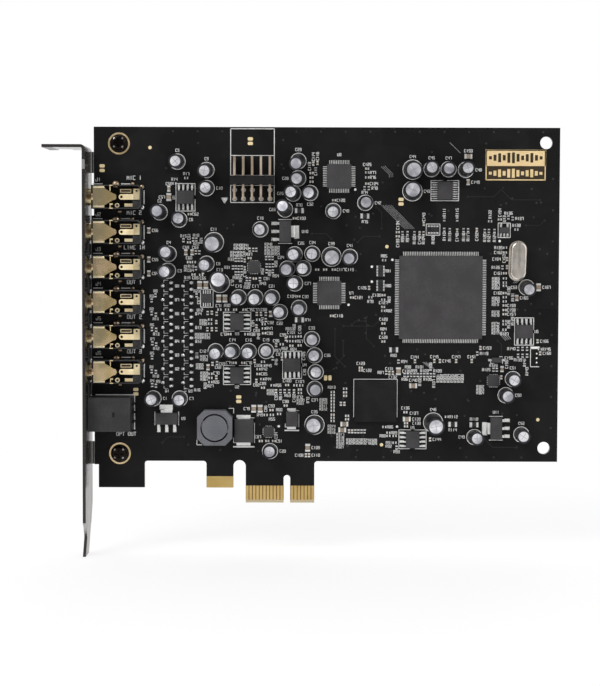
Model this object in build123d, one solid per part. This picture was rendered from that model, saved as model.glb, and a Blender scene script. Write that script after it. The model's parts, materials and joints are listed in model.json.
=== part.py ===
from build123d import *
import os
from math import atan2, degrees, hypot, sin

# A sound card, drawn lying on its back and stood up when it is written.
# X runs from the key notch towards the free end, Y from the finger edge to the top edge,
# and Z out of the component face. Sizes are in millimetres.

# Circuit board outline, measured from the key notch and the finger edge
board_thickness = 1.57
notch_to_left_edge = 55.8
notch_to_right_edge = 78.4
jack_lug = 0.75
jack_lug_rise = 4.75
jack_lug_below = 0.9
board_top = 108.65
lower_edge = 12.15
corner_radius = 0.9
tab_bottom = 4.4
left_tab_inset = 1.2
left_tab_width = 13.3
left_tab_step = 1.05
hook_tab_width = 7.8
hook_gold_height = 3.3
slot_width = 3.6
slot_rise = 0.25
notch_width = 1.9
notch_depth = 8.1

# Edge fingers
finger_pitch = 1.0
finger_width = 0.7
finger_top = 5.0
finger_margin = 0.05
finger_thickness = 0.05
fingers_left = 11
fingers_right = 7
bevel_height = 0.9
bevel_depth = 0.35

# Holes in the board
support_hole_diameter = 3.6
support_hole_inset = 3.95
support_hole_drop = 4.3
support_hole_rise = 4.0
screw_diameter = 2.96
screw_fit = 0.04
screw_hole_fit = 0.25
lead_hole_fit = 0.08

# Bracket, folded from sheet
sheet = 0.86
bracket_gap = 1.0
bracket_front = 14.6
bracket_back = 2.2
bracket_top_drop = 5.75
bracket_foot = 14.6
tab_length = 11.25
tab_notch_width = 4.4
tab_notch_depth = 6.0
tab_notch_from_end = 2.6
bend_outer_radius = 1.3
bend_inner_radius = 0.4
front_taper_start = -4.0
front_taper_height = 5.0
front_taper_depth = 6.0
back_taper_start = -0.1
back_taper_height = 6.2
back_taper_depth = 4.2
tongue_kick = 0.68
tongue_kick_height = 9.0
hole_fit = 0.2

# Ears behind the board and the screws that hold them
screw_from_left_edge = 7.15
upper_screw_drop = 4.6
lower_screw_rise = 2.2
ear_overlap = 3.4
upper_ear_root = 6.1
upper_ear_drop = 1.4
lower_ear_root = 6.6
screw_head_diameter = 4.6
screw_head_height = 1.7
screw_tail = 1.2
recess_width = 0.6
recess_length = 2.6
recess_depth = 1.0

# Audio jacks
jack_count = 6
jack_first_drop = 15.64
jack_pitch = 10.01
jack_axis_lift = 3.5
jack_bore = 3.6
jack_gap = 0.8
jack_length = 14.2
jack_width = 6.8
jack_height = 5.9
jack_wall = 0.3
jack_front_wall = 0.55
jack_rear_wall = 0.3
jack_rear_chamfer = 0.7
barrel_diameter = 5.0
barrel_proud = 0.4
barrel_length = 4.4
cover_thickness = 0.4
cover_width = 5.2
cover_length = 7.25
cover_straight = 3.55
cover_nose_radius = 0.95
rolled_edge = 0.55
wall_length = 3.2
wall_depth = 3.4
sleeve_leg_width = 1.0
strip_width = 1.6
strip_from_rear = 6.1
strip_hole = 0.75
strip_lift = 5.2
strip_thickness = 0.25
strip_dip = 8.0
strip_overlap = 0.25
plate_length = 1.8
plate_width = 3.1
plate_hole = 0.6
finger_from_rear = 4.75
finger_offset = 2.35
switch_finger_width = 0.9
block_length = 2.15
block_width = 2.1
block_height = 5.0
rivet_from_front = 7.35
rivet_offset = 2.42
rivet_diameter = 1.3
rivet_hole = 0.75
rivet_lift = 5.0
ring_spring_offset = 1.72
ring_spring_width = 1.0
ring_spring_length = 3.2
ring_spring_from_rear = 2.8
ring_spring_lift = 4.4
leg_width = 0.9
tail_length = 1.1

# Optical socket
optical_drop = 12.01
optical_gap = 0.15
optical_width = 9.7
optical_lift = 9.6
optical_length = 12.05
optical_nose_width = 8.4
optical_nose_lift = 8.2
optical_nose_proud = 0.5
optical_port = 6.2
optical_port_depth = 9.6
emitter_diameter = 2.4
emitter_length = 4.0
optical_pin_diameter = 0.5
optical_pin_pitch = 2.54

# Right-angle header
header_columns = 5
header_pitch = 2.54
header_center = -10.15
header_strip_low = 92.1
header_strip_height = 2.5
header_pin = 0.64
header_reach = 5.5
header_first_lift = 1.4
header_first_leg = 1.5
header_key_column = 3

# Layout grid of the board: columns from the jacks to the key notch and from there to the free end,
# and rows from the finger edge to the top, each about a millimetre
grid_left = 41.8
grid_right = 78.4
grid_rows = 108.65

# Chip packages: body side, body height, stand-off
package_standoff = 0.1
package_chamfer = 0.12
lead_thickness = 0.14
processor_side = 24.0
processor_height = 1.4
processor_leads = 44
converter_side = 7.0
converter_height = 1.4
converter_leads = 12
fine_pitch = 0.5
fine_lead_width = 0.24
fine_lead_reach = 1.1
output_width = 4.4
output_length = 5.2
output_height = 1.5
output_leads = 8
output_pitch = 0.65
output_lead_width = 0.3
output_lead_reach = 1.15
amplifier_width = 3.9
amplifier_length = 4.9
amplifier_height = 1.5
amplifier_leads = 4
amplifier_pitch = 1.27
amplifier_lead_width = 0.45
amplifier_lead_reach = 1.4
small_width = 2.6
small_length = 3.0
small_height = 0.9
small_leads = 4
small_lead_reach = 0.95
tiny_width = 1.7
tiny_length = 2.9
tiny_height = 1.1
tiny_pitch = 0.95
tiny_lead_width = 0.4
tiny_lead_reach = 0.7
flat_height = 0.85
bridge_side = 12.0
bridge_height = 1.2
ball_diameter = 0.5
ball_pitch = 1.0
ball_rows = 11

# Regulators
regulator_length = 6.4
regulator_width = 3.4
regulator_height = 1.6
regulator_pitch = 2.3
regulator_lead_width = 0.75
regulator_lead_reach = 1.9
regulator_tab_width = 3.3
regulator_tab_reach = 2.2

# Mute transistors
transistor_length = 2.9
transistor_width = 1.4
transistor_height = 1.0
transistor_rows = 8
transistor_pitch = 4.0
transistor_top_row = 62.9
transistor_lead_width = 0.45
transistor_lead_reach = 0.6

# Power inductor
inductor_side = 10.1
inductor_height = 4.4
inductor_chamfer = 2.0
inductor_bore = 8.2
core_diameter = 7.3
core_flange = 0.9
core_post = 3.6
coil_fit = 0.15
inductor_pad_width = 3.6
inductor_pad_thickness = 0.2

# Diodes: length along Y, width along X, height, terminal width and reach
diode_sizes = {
    "large": (6.7, 5.5, 2.2, 3.6, 1.0),
    "medium": (4.3, 3.4, 1.9, 2.0, 0.8),
}
diode_terminal_thickness = 0.3

# Crystal can
crystal_length = 11.0
crystal_width = 4.5
crystal_height = 3.4
crystal_flange = 0.3
crystal_base_height = 0.5
crystal_edge_radius = 0.5
crystal_lead_pitch = 4.88
crystal_lead_diameter = 0.45
crystal_turn = -2.0

# Electrolytic capacitors
small_can_diameter = 4.0
large_can_diameter = 5.0
can_height = 6.6
can_edge_radius = 0.3
sleeve_thickness = 0.12
sleeve_lip = 0.4
seal_height = 0.9
seal_inset = 0.35
can_lead_diameter = 0.45
small_lead_pitch = 1.5
large_lead_pitch = 2.0
rest_gap = 0.05

# Chip resistors and capacitors: length, width, height, terminal length
tiny_chip = (1.0, 0.5, 0.35, 0.25)
medium_chip = (1.6, 0.8, 0.45, 0.35)
broad_chip = (2.1, 1.25, 0.8, 0.45)
bead_chip = (2.4, 1.3, 0.9, 0.6)
network_side = 3.4
network_width = 1.5
network_height = 0.5
network_pitch = 0.8
network_terminal = 0.35
network_terminal_width = 0.5

# Places of the parts on the layout grid, as column and row from the key notch
processor_place = (44.25, 59.8)
converter_places = [(14.85, 94.55), (12.1, 61.0)]
output_place = (45.3, 90.55)
amplifiers_upright = [(-29.4, 88.45), (1.45, 40.15), (68.5, 50.0)]
amplifiers_flat = [(-14.5, 52.6), (-14.5, 37.15), (36.4, 18.6)]
small_chip_places = [(-23.25, 59.35)]
tiny_chip_places = [(62.5, 79.2)]
flat_chip_sizes = [(-9.6, 68.4, 3.5), (-5.3, 20.7, 3.0), (59.75, 35.7, 3.3)]
bridge_place = (25.6, 29.75)
regulator_turns = [(-34.85, 24.5, 90), (-0.65, 78.7, 0), (60.55, 21.9, 180)]
transistor_columns = [-34.75, -28.9]
inductor_place = (-20.8, 22.15)
large_diode_place = (-12.45, 21.1)
medium_diode_place = (1.45, 24.5)
small_diode_place = (60.6, 41.7)
crystal_place = (66.4, 70.4)
ferrite_place = (48.0, 23.0)
networks_flat = [(26.9, 67.4), (26.9, 63.15)]
networks_upright = [(42.0, 79.35)]

# Cans: column, row, then how far the top leans right and up
small_cans = [
    (-31.7, 98.7, -0.25, -0.1), (-23.3, 96.35, -0.4, -0.45), (-23.3, 91.1, -0.1, 0.0),
    (-36.8, 84.1, -0.4, 0.3), (-31.2, 82.0, 0.05, 0.35), (-34.2, 72.1, -0.6, 0.6),
    (-34.4, 67.3, -0.7, -0.2), (-23.3, 69.4, -0.45, -0.4), (3.2, 99.1, -0.8, -1.1),
    (3.1, 94.0, -0.5, -0.3), (1.7, 89.6, -0.8, 0.3), (6.6, 89.8, -0.6, -0.1),
    (-0.6, 84.9, -0.8, 1.0), (13.2, 84.7, -0.2, -0.4), (22.4, 87.0, 0.0, 0.0),
    (-7.8, 79.3, -0.15, -0.1), (2.15, 72.1, -0.5, 0.0), (7.2, 72.3, -0.2, 0.0),
    (18.1, 71.5, -0.5, -0.5), (0.0, 68.0, -0.35, -0.2), (4.65, 68.1, -0.35, 0.0),
    (2.3, 63.7, -0.6, 0.2), (-14.0, 59.7, -0.55, -0.35), (-9.2, 59.7, -0.3, -0.35),
    (-4.4, 59.7, -0.3, -0.15), (-2.1, 55.4, -0.35, 0.2), (3.4, 56.7, -0.2, -0.3),
    (-20.7, 44.1, 0.0, -0.4), (-15.8, 44.1, -0.45, 0.1), (-11.1, 44.1, -0.3, -0.15),
    (-6.1, 44.1, 0.0, 0.4), (7.1, 47.6, 0.0, 0.15), (8.0, 42.9, -0.35, 0.3),
    (8.25, 38.0, 0.0, 0.5), (8.0, 33.2, 0.1, 0.2), (-4.9, 15.0, -0.1, 0.6),
    (-38.7, 30.3, -0.2, 0.15), (-31.1, 30.3, 0.15, 0.05), (41.5, 96.7, -0.35, 0.3),
    (46.4, 96.7, -0.4, 0.0), (51.3, 96.5, 0.1, 0.35), (69.1, 62.8, 0.0, -0.5),
    (65.4, 36.2, -0.3, 0.1), (63.3, 31.5, 0.0, 0.15), (54.3, 19.3, 0.25, 0.2),
    (67.95, 20.1, -0.1, 0.0),
]
large_cans = [
    (-21.2, 75.6, -0.3, -0.5), (-19.5, 63.7, -0.25, 1.2), (12.7, 71.5, 0.0, -0.2),
    (8.0, 22.75, -0.4, 0.4), (36.0, 96.6, 0.0, -0.3), (36.0, 90.35, -0.3, 0.25),
    (42.3, 23.6, 0.45, -0.7),
]

# Chip resistors that stand along Y
upright_resistors = [
    (-30.0, 76.1), (-27.2, 76.3), (-26.3, 76.3), (-26.4, 72.6), (-25.4, 72.6), (-26.4, 68.0),
    (-10.9, 73.4), (-9.9, 73.4), (-9.0, 73.4), (-14.9, 70.5), (-14.1, 70.5), (-13.2, 70.5),
    (-15.7, 68.3), (-14.9, 68.3), (-14.1, 68.3), (-13.2, 68.3), (-14.9, 66.6), (-14.1, 66.6),
    (-13.2, 66.6), (-6.0, 68.9), (-5.1, 68.9), (-4.2, 68.9), (-6.0, 67.2), (-4.2, 67.2),
    (-6.1, 71.0), (-5.2, 71.0), (-4.3, 71.0), (-11.7, 64.9), (-10.8, 64.9), (-7.9, 64.9),
    (22.2, 91.2), (23.4, 91.2), (33.2, 78.3), (34.6, 78.3), (36.6, 78.3), (39.2, 78.3),
    (45.2, 82.3), (45.2, 79.3), (46.8, 79.2), (48.9, 82.3), (50.8, 79.2), (52.1, 79.2),
    (56.9, 79.0), (58.1, 79.0), (59.7, 79.0), (63.7, 82.9), (64.9, 82.6), (62.1, 68.5),
    (34.0, 37.3), (34.95, 37.3), (35.9, 37.3), (36.85, 37.3), (37.8, 37.3), (38.75, 37.3),
    (39.7, 37.3), (40.65, 37.3), (41.6, 37.3), (42.55, 37.3), (32.2, 41.2), (28.7, 38.0),
    (55.0, 43.6), (66.8, 45.0), (68.1, 45.0), (69.4, 45.0), (66.8, 43.0), (68.1, 43.0),
    (69.4, 43.0), (59.7, 38.9), (60.7, 38.9), (-23.0, 55.1), (-20.4, 54.9), (-23.1, 50.4),
    (-20.5, 50.4), (-6.2, 53.1), (-6.2, 54.9), (-20.3, 40.6), (-1.9, 32.5), (-0.7, 32.5),
    (0.6, 32.5), (19.8, 20.9), (20.7, 20.9), (21.6, 20.9), (22.5, 20.9), (31.8, 16.2),
    (-39.1, 50.4), (-37.9, 50.2), (-39.2, 55.0), (-38.0, 54.6), (-39.1, 42.2), (-38.0, 38.0),
    (-39.2, 38.2), (-37.9, 46.0), (-39.0, 46.3), (-39.1, 34.2), (-38.0, 34.0), (-4.2, 42.0),
    (-29.5, 32.8), (-39.2, 58.7), (-38.1, 60.2), (-26.2, 60.2),
]

# Chip resistors that lie along X
flat_resistors = [
    (-27.0, 69.8), (22.9, 95.7), (22.9, 94.3), (58.4, 81.8), (66.0, 79.4), (27.9, 70.5),
    (27.7, 59.1), (27.7, 55.9), (27.8, 49.4), (62.8, 74.2), (62.8, 65.3), (62.8, 64.1),
    (62.8, 63.2), (62.8, 59.9), (62.8, 58.7), (62.8, 53.0), (62.8, 52.1), (62.8, 50.5),
    (3.7, 32.0), (2.4, 34.2), (4.1, 34.2), (13.2, 32.3), (13.2, 31.4), (13.2, 30.5),
    (13.2, 29.6), (13.2, 28.7), (13.2, 27.8), (13.2, 26.9), (13.2, 24.8), (13.2, 23.9),
    (16.8, 33.3), (29.4, 20.5), (29.4, 19.6), (31.2, 19.6), (31.2, 17.6), (-19.6, 56.1),
    (-17.4, 56.1), (-8.4, 53.2), (-6.8, 51.9), (-6.8, 50.7), (-11.8, 49.0), (-22.3, 53.2),
    (-22.3, 52.0), (-7.0, 41.0), (-7.0, 39.9), (-8.3, 38.9), (-22.2, 37.5), (-22.2, 36.3),
    (-22.2, 35.1), (-7.2, 36.0), (-4.2, 34.2), (-29.2, 94.0), (-32.6, 92.4), (0.4, 47.0),
    (0.4, 48.3), (2.0, 47.0), (2.0, 48.3), (-2.3, 25.9), (-6.2, 25.6), (-4.4, 25.6),
    (46.3, 25.2), (28.2, 22.2), (-1.6, 46.1), (24.0, 59.8), (-24.9, 66.1), (73.1, 44.9),
]

# Chip capacitors that stand along Y
upright_capacitors = [
    (-12.3, 68.1), (-12.3, 70.3), (7.4, 98.2), (8.6, 98.4), (38.1, 78.3), (39.3, 81.0),
    (48.9, 79.1), (54.6, 79.3), (63.4, 70.9), (63.4, 68.6), (23.6, 62.5), (37.0, 41.3),
    (29.6, 37.9), (30.6, 37.9), (42.6, 41.4), (44.2, 41.4), (48.9, 41.4), (53.4, 41.4),
    (72.4, 47.2), (55.9, 45.2), (62.0, 36.7), (5.5, 13.9), (6.4, 13.9), (-3.2, 32.5),
    (2.0, 32.5), (15.6, 28.9), (16.6, 28.9), (18.0, 20.9), (18.9, 20.9), (-20.5, 52.5),
    (-21.8, 50.4), (-21.8, 55.2), (-8.8, 54.9), (-7.6, 54.9), (-8.9, 51.3), (-21.6, 40.4),
    (-20.5, 36.5), (-8.9, 35.5), (-0.4, 47.6), (41.5, 18.6), (-3.2, 45.9), (-1.5, 42.0),
    (73.2, 43.7), (-9.4, 41.2), (-24.4, 66.9),
]

# Chip capacitors that lie along X
flat_capacitors = [
    (-28.4, 75.5), (-28.4, 69.8), (-27.1, 66.2), (-10.9, 71.0), (-9.4, 65.1), (6.9, 95.5),
    (6.9, 94.2), (6.9, 93.0), (13.4, 87.7), (22.9, 96.8), (22.9, 92.5), (2.1, 82.5),
    (8.6, 67.75), (10.9, 67.75), (13.4, 67.75), (31.8, 78.6), (31.8, 77.4), (61.2, 82.3),
    (27.8, 60.4), (27.7, 57.0), (27.8, 52.2), (27.8, 47.0), (62.8, 72.8), (62.8, 66.8),
    (62.8, 61.1), (62.8, 57.5), (62.8, 56.2), (62.8, 55.0), (3.7, 33.0), (0.0, 34.3),
    (13.2, 25.7), (16.8, 32.2), (16.8, 31.2), (17.4, 25.4), (17.4, 24.4), (34.3, 26.5),
    (34.5, 23.3), (34.5, 22.4), (-7.6, 18.0), (-5.7, 18.0), (-3.8, 18.0), (-15.1, 56.1),
    (-12.4, 56.1), (-6.7, 49.3), (-16.7, 49.0), (-15.2, 40.7), (-12.7, 40.7), (-8.3, 37.5),
    (-7.0, 33.5), (12.9, 54.4), (18.7, 59.7), (3.2, 60.0), (3.6, 48.4), (1.2, 45.7),
    (3.6, 45.8), (-4.5, 27.0), (21.3, 38.6), (21.3, 39.4), (-28.2, 83.6), (-0.4, 28.3),
]

# Larger chips: two-terminal capacitors, brown capacitors and ferrite beads
upright_medium = [
    (-34.2, 90.9), (-40.0, 70.5), (-40.0, 66.5), (-29.3, 72.6), (-27.5, 72.6), (66.3, 59.7),
    (62.2, 39.1), (-4.8, 54.9), (-22.9, 39.4), (-40.0, 78.9), (52.0, 93.0),
]
upright_broad = [
    (-34.2, 88.5), (-25.3, 63.2), (-23.5, 63.2), (-9.65, 27.4), (-7.8, 27.4), (32.2, 38.4),
    (72.5, 62.8), (-19.8, 59.3), (-18.0, 59.3), (6.0, 16.1),
]
flat_broad = [(16.6, 23.0), (16.0, 21.3), (34.7, 24.5), (36.5, 34.2), (52.0, 100.4)]
flat_beads = [(3.4, 84.7), (22.3, 83.2), (3.5, 53.2), (30.8, 44.6), (54.2, 22.9)]

# Values that follow from the sizes above
face = board_thickness / 2
left_edge = -notch_to_left_edge
right_edge = notch_to_right_edge
first_finger = notch_width / 2 + finger_pitch / 2 + finger_margin
tongue_left = -(first_finger + (fingers_left - 0.5) * finger_pitch - finger_margin)
tongue_right = first_finger + (fingers_right - 0.5) * finger_pitch - finger_margin
slot_left = tongue_left - slot_width
hook_left = slot_left - hook_tab_width
left_tab_left = left_edge + left_tab_inset
left_tab_right = left_tab_left + left_tab_width
inner_face = left_edge - bracket_gap
outer_face = inner_face - sheet
bracket_front_edge = face + bracket_front
bracket_back_edge = -face - bracket_back
screw_x = left_edge + screw_from_left_edge
jack_front = inner_face + jack_gap
jack_rear = jack_front + jack_length
upper_screw_height = board_top - upper_screw_drop
lower_screw_height = lower_edge + lower_screw_rise
bracket_top = board_top - bracket_top_drop
jack_first = upper_screw_height - jack_first_drop
jack_axes = [jack_first - number * jack_pitch for number in range(jack_count)]
optical_height = jack_axes[-1] - optical_drop
standing = Rot(90, 0, 0)


def across(column):
    """Millimetres along X of a column of the layout grid."""
    if column < 0:
        return -column * jack_rear / grid_left
    return column * notch_to_right_edge / grid_right


def upward(row):
    """Millimetres along Y of a row of the layout grid."""
    return row * board_top / grid_rows


def place(spot):
    """A grid place in millimetres."""
    return across(spot[0]), upward(spot[1])


def block(x_low, x_high, y_low, y_high, z_low, z_high):
    """A box between two corners."""
    corner = Plane((x_low, y_low, z_low))
    return Solid.make_box(x_high - x_low, y_high - y_low, z_high - z_low, corner)


def slab(x, y, width, height, low, high):
    """A box over the component face, between two lifts."""
    return block(x - width / 2, x + width / 2, y - height / 2, y + height / 2, face + low, face + high)


def rod(x, y, diameter, low, high):
    """A round bar along Z."""
    return Solid.make_cylinder(diameter / 2, high - low, Plane((x, y, low)))


def pipe(x_low, x_high, y, z, diameter):
    """A round bar along X."""
    along = Plane((x_low, y, z), x_dir=(0, 1, 0), z_dir=(1, 0, 0))
    return Solid.make_cylinder(diameter / 2, x_high - x_low, along)


def prism(points, plane, depth):
    """A closed outline on a plane, drawn out along its normal."""
    return extrude(make_face(Polyline(*points, close=True)), amount=depth).solid().moved(plane.location)


def write(name, solids):
    """Stands a node up and writes it."""
    upright = [solid.moved(standing) for solid in solids]
    export_step(upright[0] if len(upright) == 1 else Compound(upright), f"parts/{name}.step")


def gull_lead(width, reach, shoulder):
    """A bent lead that leaves a package at its shoulder and ends in a foot on the board."""
    top = shoulder + lead_thickness
    bend = reach * 0.35
    foot = reach * 0.5
    outline = [
        (0, shoulder), (bend - lead_thickness, shoulder), (foot - lead_thickness, 0), (reach, 0),
        (reach, lead_thickness), (foot, lead_thickness), (bend, top), (0, top),
    ]
    sideways = Plane((0, width / 2, 0), x_dir=(1, 0, 0), z_dir=(0, -1, 0))
    return prism(outline, sideways, width)


def lead_row(lead, x, y, half, turn, offsets):
    """Leads side by side along one side of a package."""
    side = Location((x, y, face), (0, 0, turn))
    return [lead.moved(side * Location((half, offset, 0))) for offset in offsets]


def evenly(count, pitch):
    """Offsets of a centred row."""
    return [(number - (count - 1) / 2) * pitch for number in range(count)]


def package(x, y, width, height, thickness):
    """A moulded chip body with its upper edges broken."""
    body = slab(x, y, width, height, package_standoff, package_standoff + thickness)
    upper = body.faces().sort_by(Axis.Z)[-1]
    return body.chamfer(package_chamfer, None, upper.edges())


def shoulder_of(thickness):
    """Lift of the leads where they leave a body of this thickness."""
    return package_standoff + thickness / 2 - lead_thickness / 2


# Circuit board
lug_top = jack_axes[1] + jack_lug_rise
lug_low = optical_height - optical_width / 2 - jack_lug_below
outline = [
    (left_edge, board_top), (left_edge, lug_top), (left_edge - jack_lug, lug_top),
    (left_edge - jack_lug, lug_low), (left_edge, lug_low), (left_edge, lower_edge - left_tab_step),
    (left_tab_left, lower_edge - left_tab_step), (left_tab_left, tab_bottom),
    (left_tab_right, tab_bottom), (left_tab_right, lower_edge), (hook_left, lower_edge),
    (hook_left, tab_bottom), (tongue_left, tab_bottom), (tongue_left, 0), (tongue_right, 0),
    (tongue_right, lower_edge), (right_edge, lower_edge), (right_edge, board_top),
]
sheet_face = make_face(Polyline(*outline, close=True))
inner_corners = [(left_tab_right, lower_edge), (hook_left, lower_edge), (tongue_right, lower_edge)]
rounded = [
    vertex for vertex in sheet_face.vertices()
    if any(hypot(vertex.X - x, vertex.Y - y) < finger_margin for x, y in inner_corners)
]
sheet_face = fillet(rounded, corner_radius)
board = extrude(sheet_face, amount=board_thickness).solid().moved(Location((0, 0, -face)))

slot_top = lower_edge + slot_rise
slot_middle = (slot_left + tongue_left) / 2
cuts = [
    block(slot_left, tongue_left, tab_bottom - slot_width, slot_top - slot_width / 2, -face, face),
    rod(slot_middle, slot_top - slot_width / 2, slot_width, -face, face),
    block(-notch_width / 2, notch_width / 2, -notch_width, notch_depth - notch_width / 2, -face, face),
    rod(0, notch_depth - notch_width / 2, notch_width, -face, face),
]
for side in (1, -1):
    wedge = [(0, side * face), (bevel_height, side * face), (0, side * (face - bevel_depth))]
    edge_plane = Plane((tongue_left, 0, 0), x_dir=(0, 1, 0), z_dir=(1, 0, 0))
    cuts.append(prism(wedge, edge_plane, tongue_right - tongue_left))

support_x = right_edge - support_hole_inset
support_heights = (lower_edge + support_hole_rise, board_top - support_hole_drop)
holes = [(support_x, height, support_hole_diameter) for height in support_heights]
screw_heights = (upper_screw_height, lower_screw_height)
screw_hole = screw_diameter + 2 * screw_hole_fit
holes += [(screw_x, height, screw_hole) for height in screw_heights]

# Edge contacts on both faces
fingers = []
finger_places = [-(first_finger + number * finger_pitch) for number in range(fingers_left)]
finger_places += [first_finger + number * finger_pitch for number in range(fingers_right)]
for low in (face, -face - finger_thickness):
    high = low + finger_thickness
    for x in finger_places:
        half = finger_width / 2
        fingers.append(block(x - half, x + half, bevel_height, finger_top, low, high))
    fingers.append(block(hook_left, slot_left, tab_bottom, tab_bottom + hook_gold_height, low, high))

# Bracket
side_view = [
    (inner_face, -bracket_foot + tongue_kick_height), (inner_face, bracket_top),
    (outer_face - tab_length, bracket_top), (outer_face - tab_length, bracket_top - sheet),
    (outer_face, bracket_top - sheet), (outer_face, -bracket_foot + tongue_kick_height),
    (outer_face - tongue_kick, -bracket_foot), (inner_face - tongue_kick, -bracket_foot),
]
side_face = make_face(Polyline(*side_view, close=True))
for corner, radius in ((side_view[1], bend_outer_radius), (side_view[4], bend_inner_radius)):
    bend = min(side_face.vertices(), key=lambda v: hypot(v.X - corner[0], v.Y - corner[1]))
    side_face = fillet(bend, radius)
bracket = extrude(side_face, amount=bracket_front_edge - bracket_back_edge).solid()
bracket = bracket.moved(Location((0, 0, bracket_back_edge)))

trims = []
past_left = outer_face - tab_length - sheet
sides = (
    (1, bracket_front_edge, front_taper_start, front_taper_height, front_taper_depth),
    (-1, bracket_back_edge, back_taper_start, back_taper_height, back_taper_depth),
)
for side, full, start, height, depth in sides:
    narrow = full - side * depth
    taper = [
        (start, full), (start - height, narrow), (-bracket_foot - sheet, narrow),
        (-bracket_foot - sheet, full + side * sheet), (start, full + side * sheet),
    ]
    across_sheet = Plane((past_left, 0, 0), x_dir=(0, 1, 0), z_dir=(1, 0, 0))
    trims.append(prism(taper, across_sheet, inner_face + sheet - past_left))
notch_x = outer_face - tab_length + tab_notch_from_end + tab_notch_width / 2
notch_end = bracket_back_edge + tab_notch_depth
trims.append(
    block(
        notch_x - tab_notch_width / 2, notch_x + tab_notch_width / 2, bracket_top - 2 * sheet,
        bracket_top + sheet, bracket_back_edge - sheet, notch_end - tab_notch_width / 2,
    )
)
round_end = Plane((notch_x, bracket_top - 2 * sheet, notch_end - tab_notch_width / 2), z_dir=(0, 1, 0))
trims.append(Solid.make_cylinder(tab_notch_width / 2, 3 * sheet, round_end))
for axis in jack_axes:
    barrel_hole = barrel_diameter + 2 * hole_fit
    trims.append(pipe(outer_face - sheet, inner_face + sheet, axis, face + jack_axis_lift, barrel_hole))
nose_low = (optical_lift - optical_nose_lift) / 2
trims.append(
    block(
        outer_face - sheet, inner_face + sheet,
        optical_height - optical_nose_width / 2 - hole_fit,
        optical_height + optical_nose_width / 2 + hole_fit,
        face + nose_low - hole_fit, face + nose_low + optical_nose_lift + hole_fit,
    )
)

ear_end = screw_x + ear_overlap
ear_start = screw_x - ear_overlap
upper_root_top = bracket_top - upper_ear_drop
upper_root_foot = upper_root_top - upper_ear_root
ears = [
    block(
        inner_face, ear_end, lower_screw_height - lower_ear_root / 2,
        lower_screw_height + lower_ear_root / 2, -face - sheet, -face,
    ),
    block(inner_face, ear_end, upper_root_foot, upper_root_top, -face - sheet, -face),
    block(
        ear_start, ear_end, min(upper_root_foot, upper_screw_height - ear_overlap),
        max(upper_root_top, upper_screw_height + ear_overlap), -face - sheet, -face,
    ),
]
tapped = screw_diameter + screw_fit
for height in screw_heights:
    trims.append(rod(screw_x, height, tapped, -face - 2 * sheet, -face + sheet))
bracket = bracket.fuse(*ears).solid().cut(*trims).solid()

# Screws
screws = []
for height in screw_heights:
    head = rod(screw_x, height, screw_head_diameter, face, face + screw_head_height)
    rim = head.faces().sort_by(Axis.Z)[-1].edges()
    head = head.fillet(screw_head_height / 2, rim)
    shank = rod(screw_x, height, screw_diameter, -face - sheet - screw_tail, face)
    cross_low = screw_head_height - recess_depth
    cross_high = screw_head_height + recess_depth
    cross = [
        slab(screw_x, height, recess_length, recess_width, cross_low, cross_high),
        slab(screw_x, height, recess_width, recess_length, cross_low, cross_high),
    ]
    screws.append(head.fuse(shank).solid().cut(*cross).solid())

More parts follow.
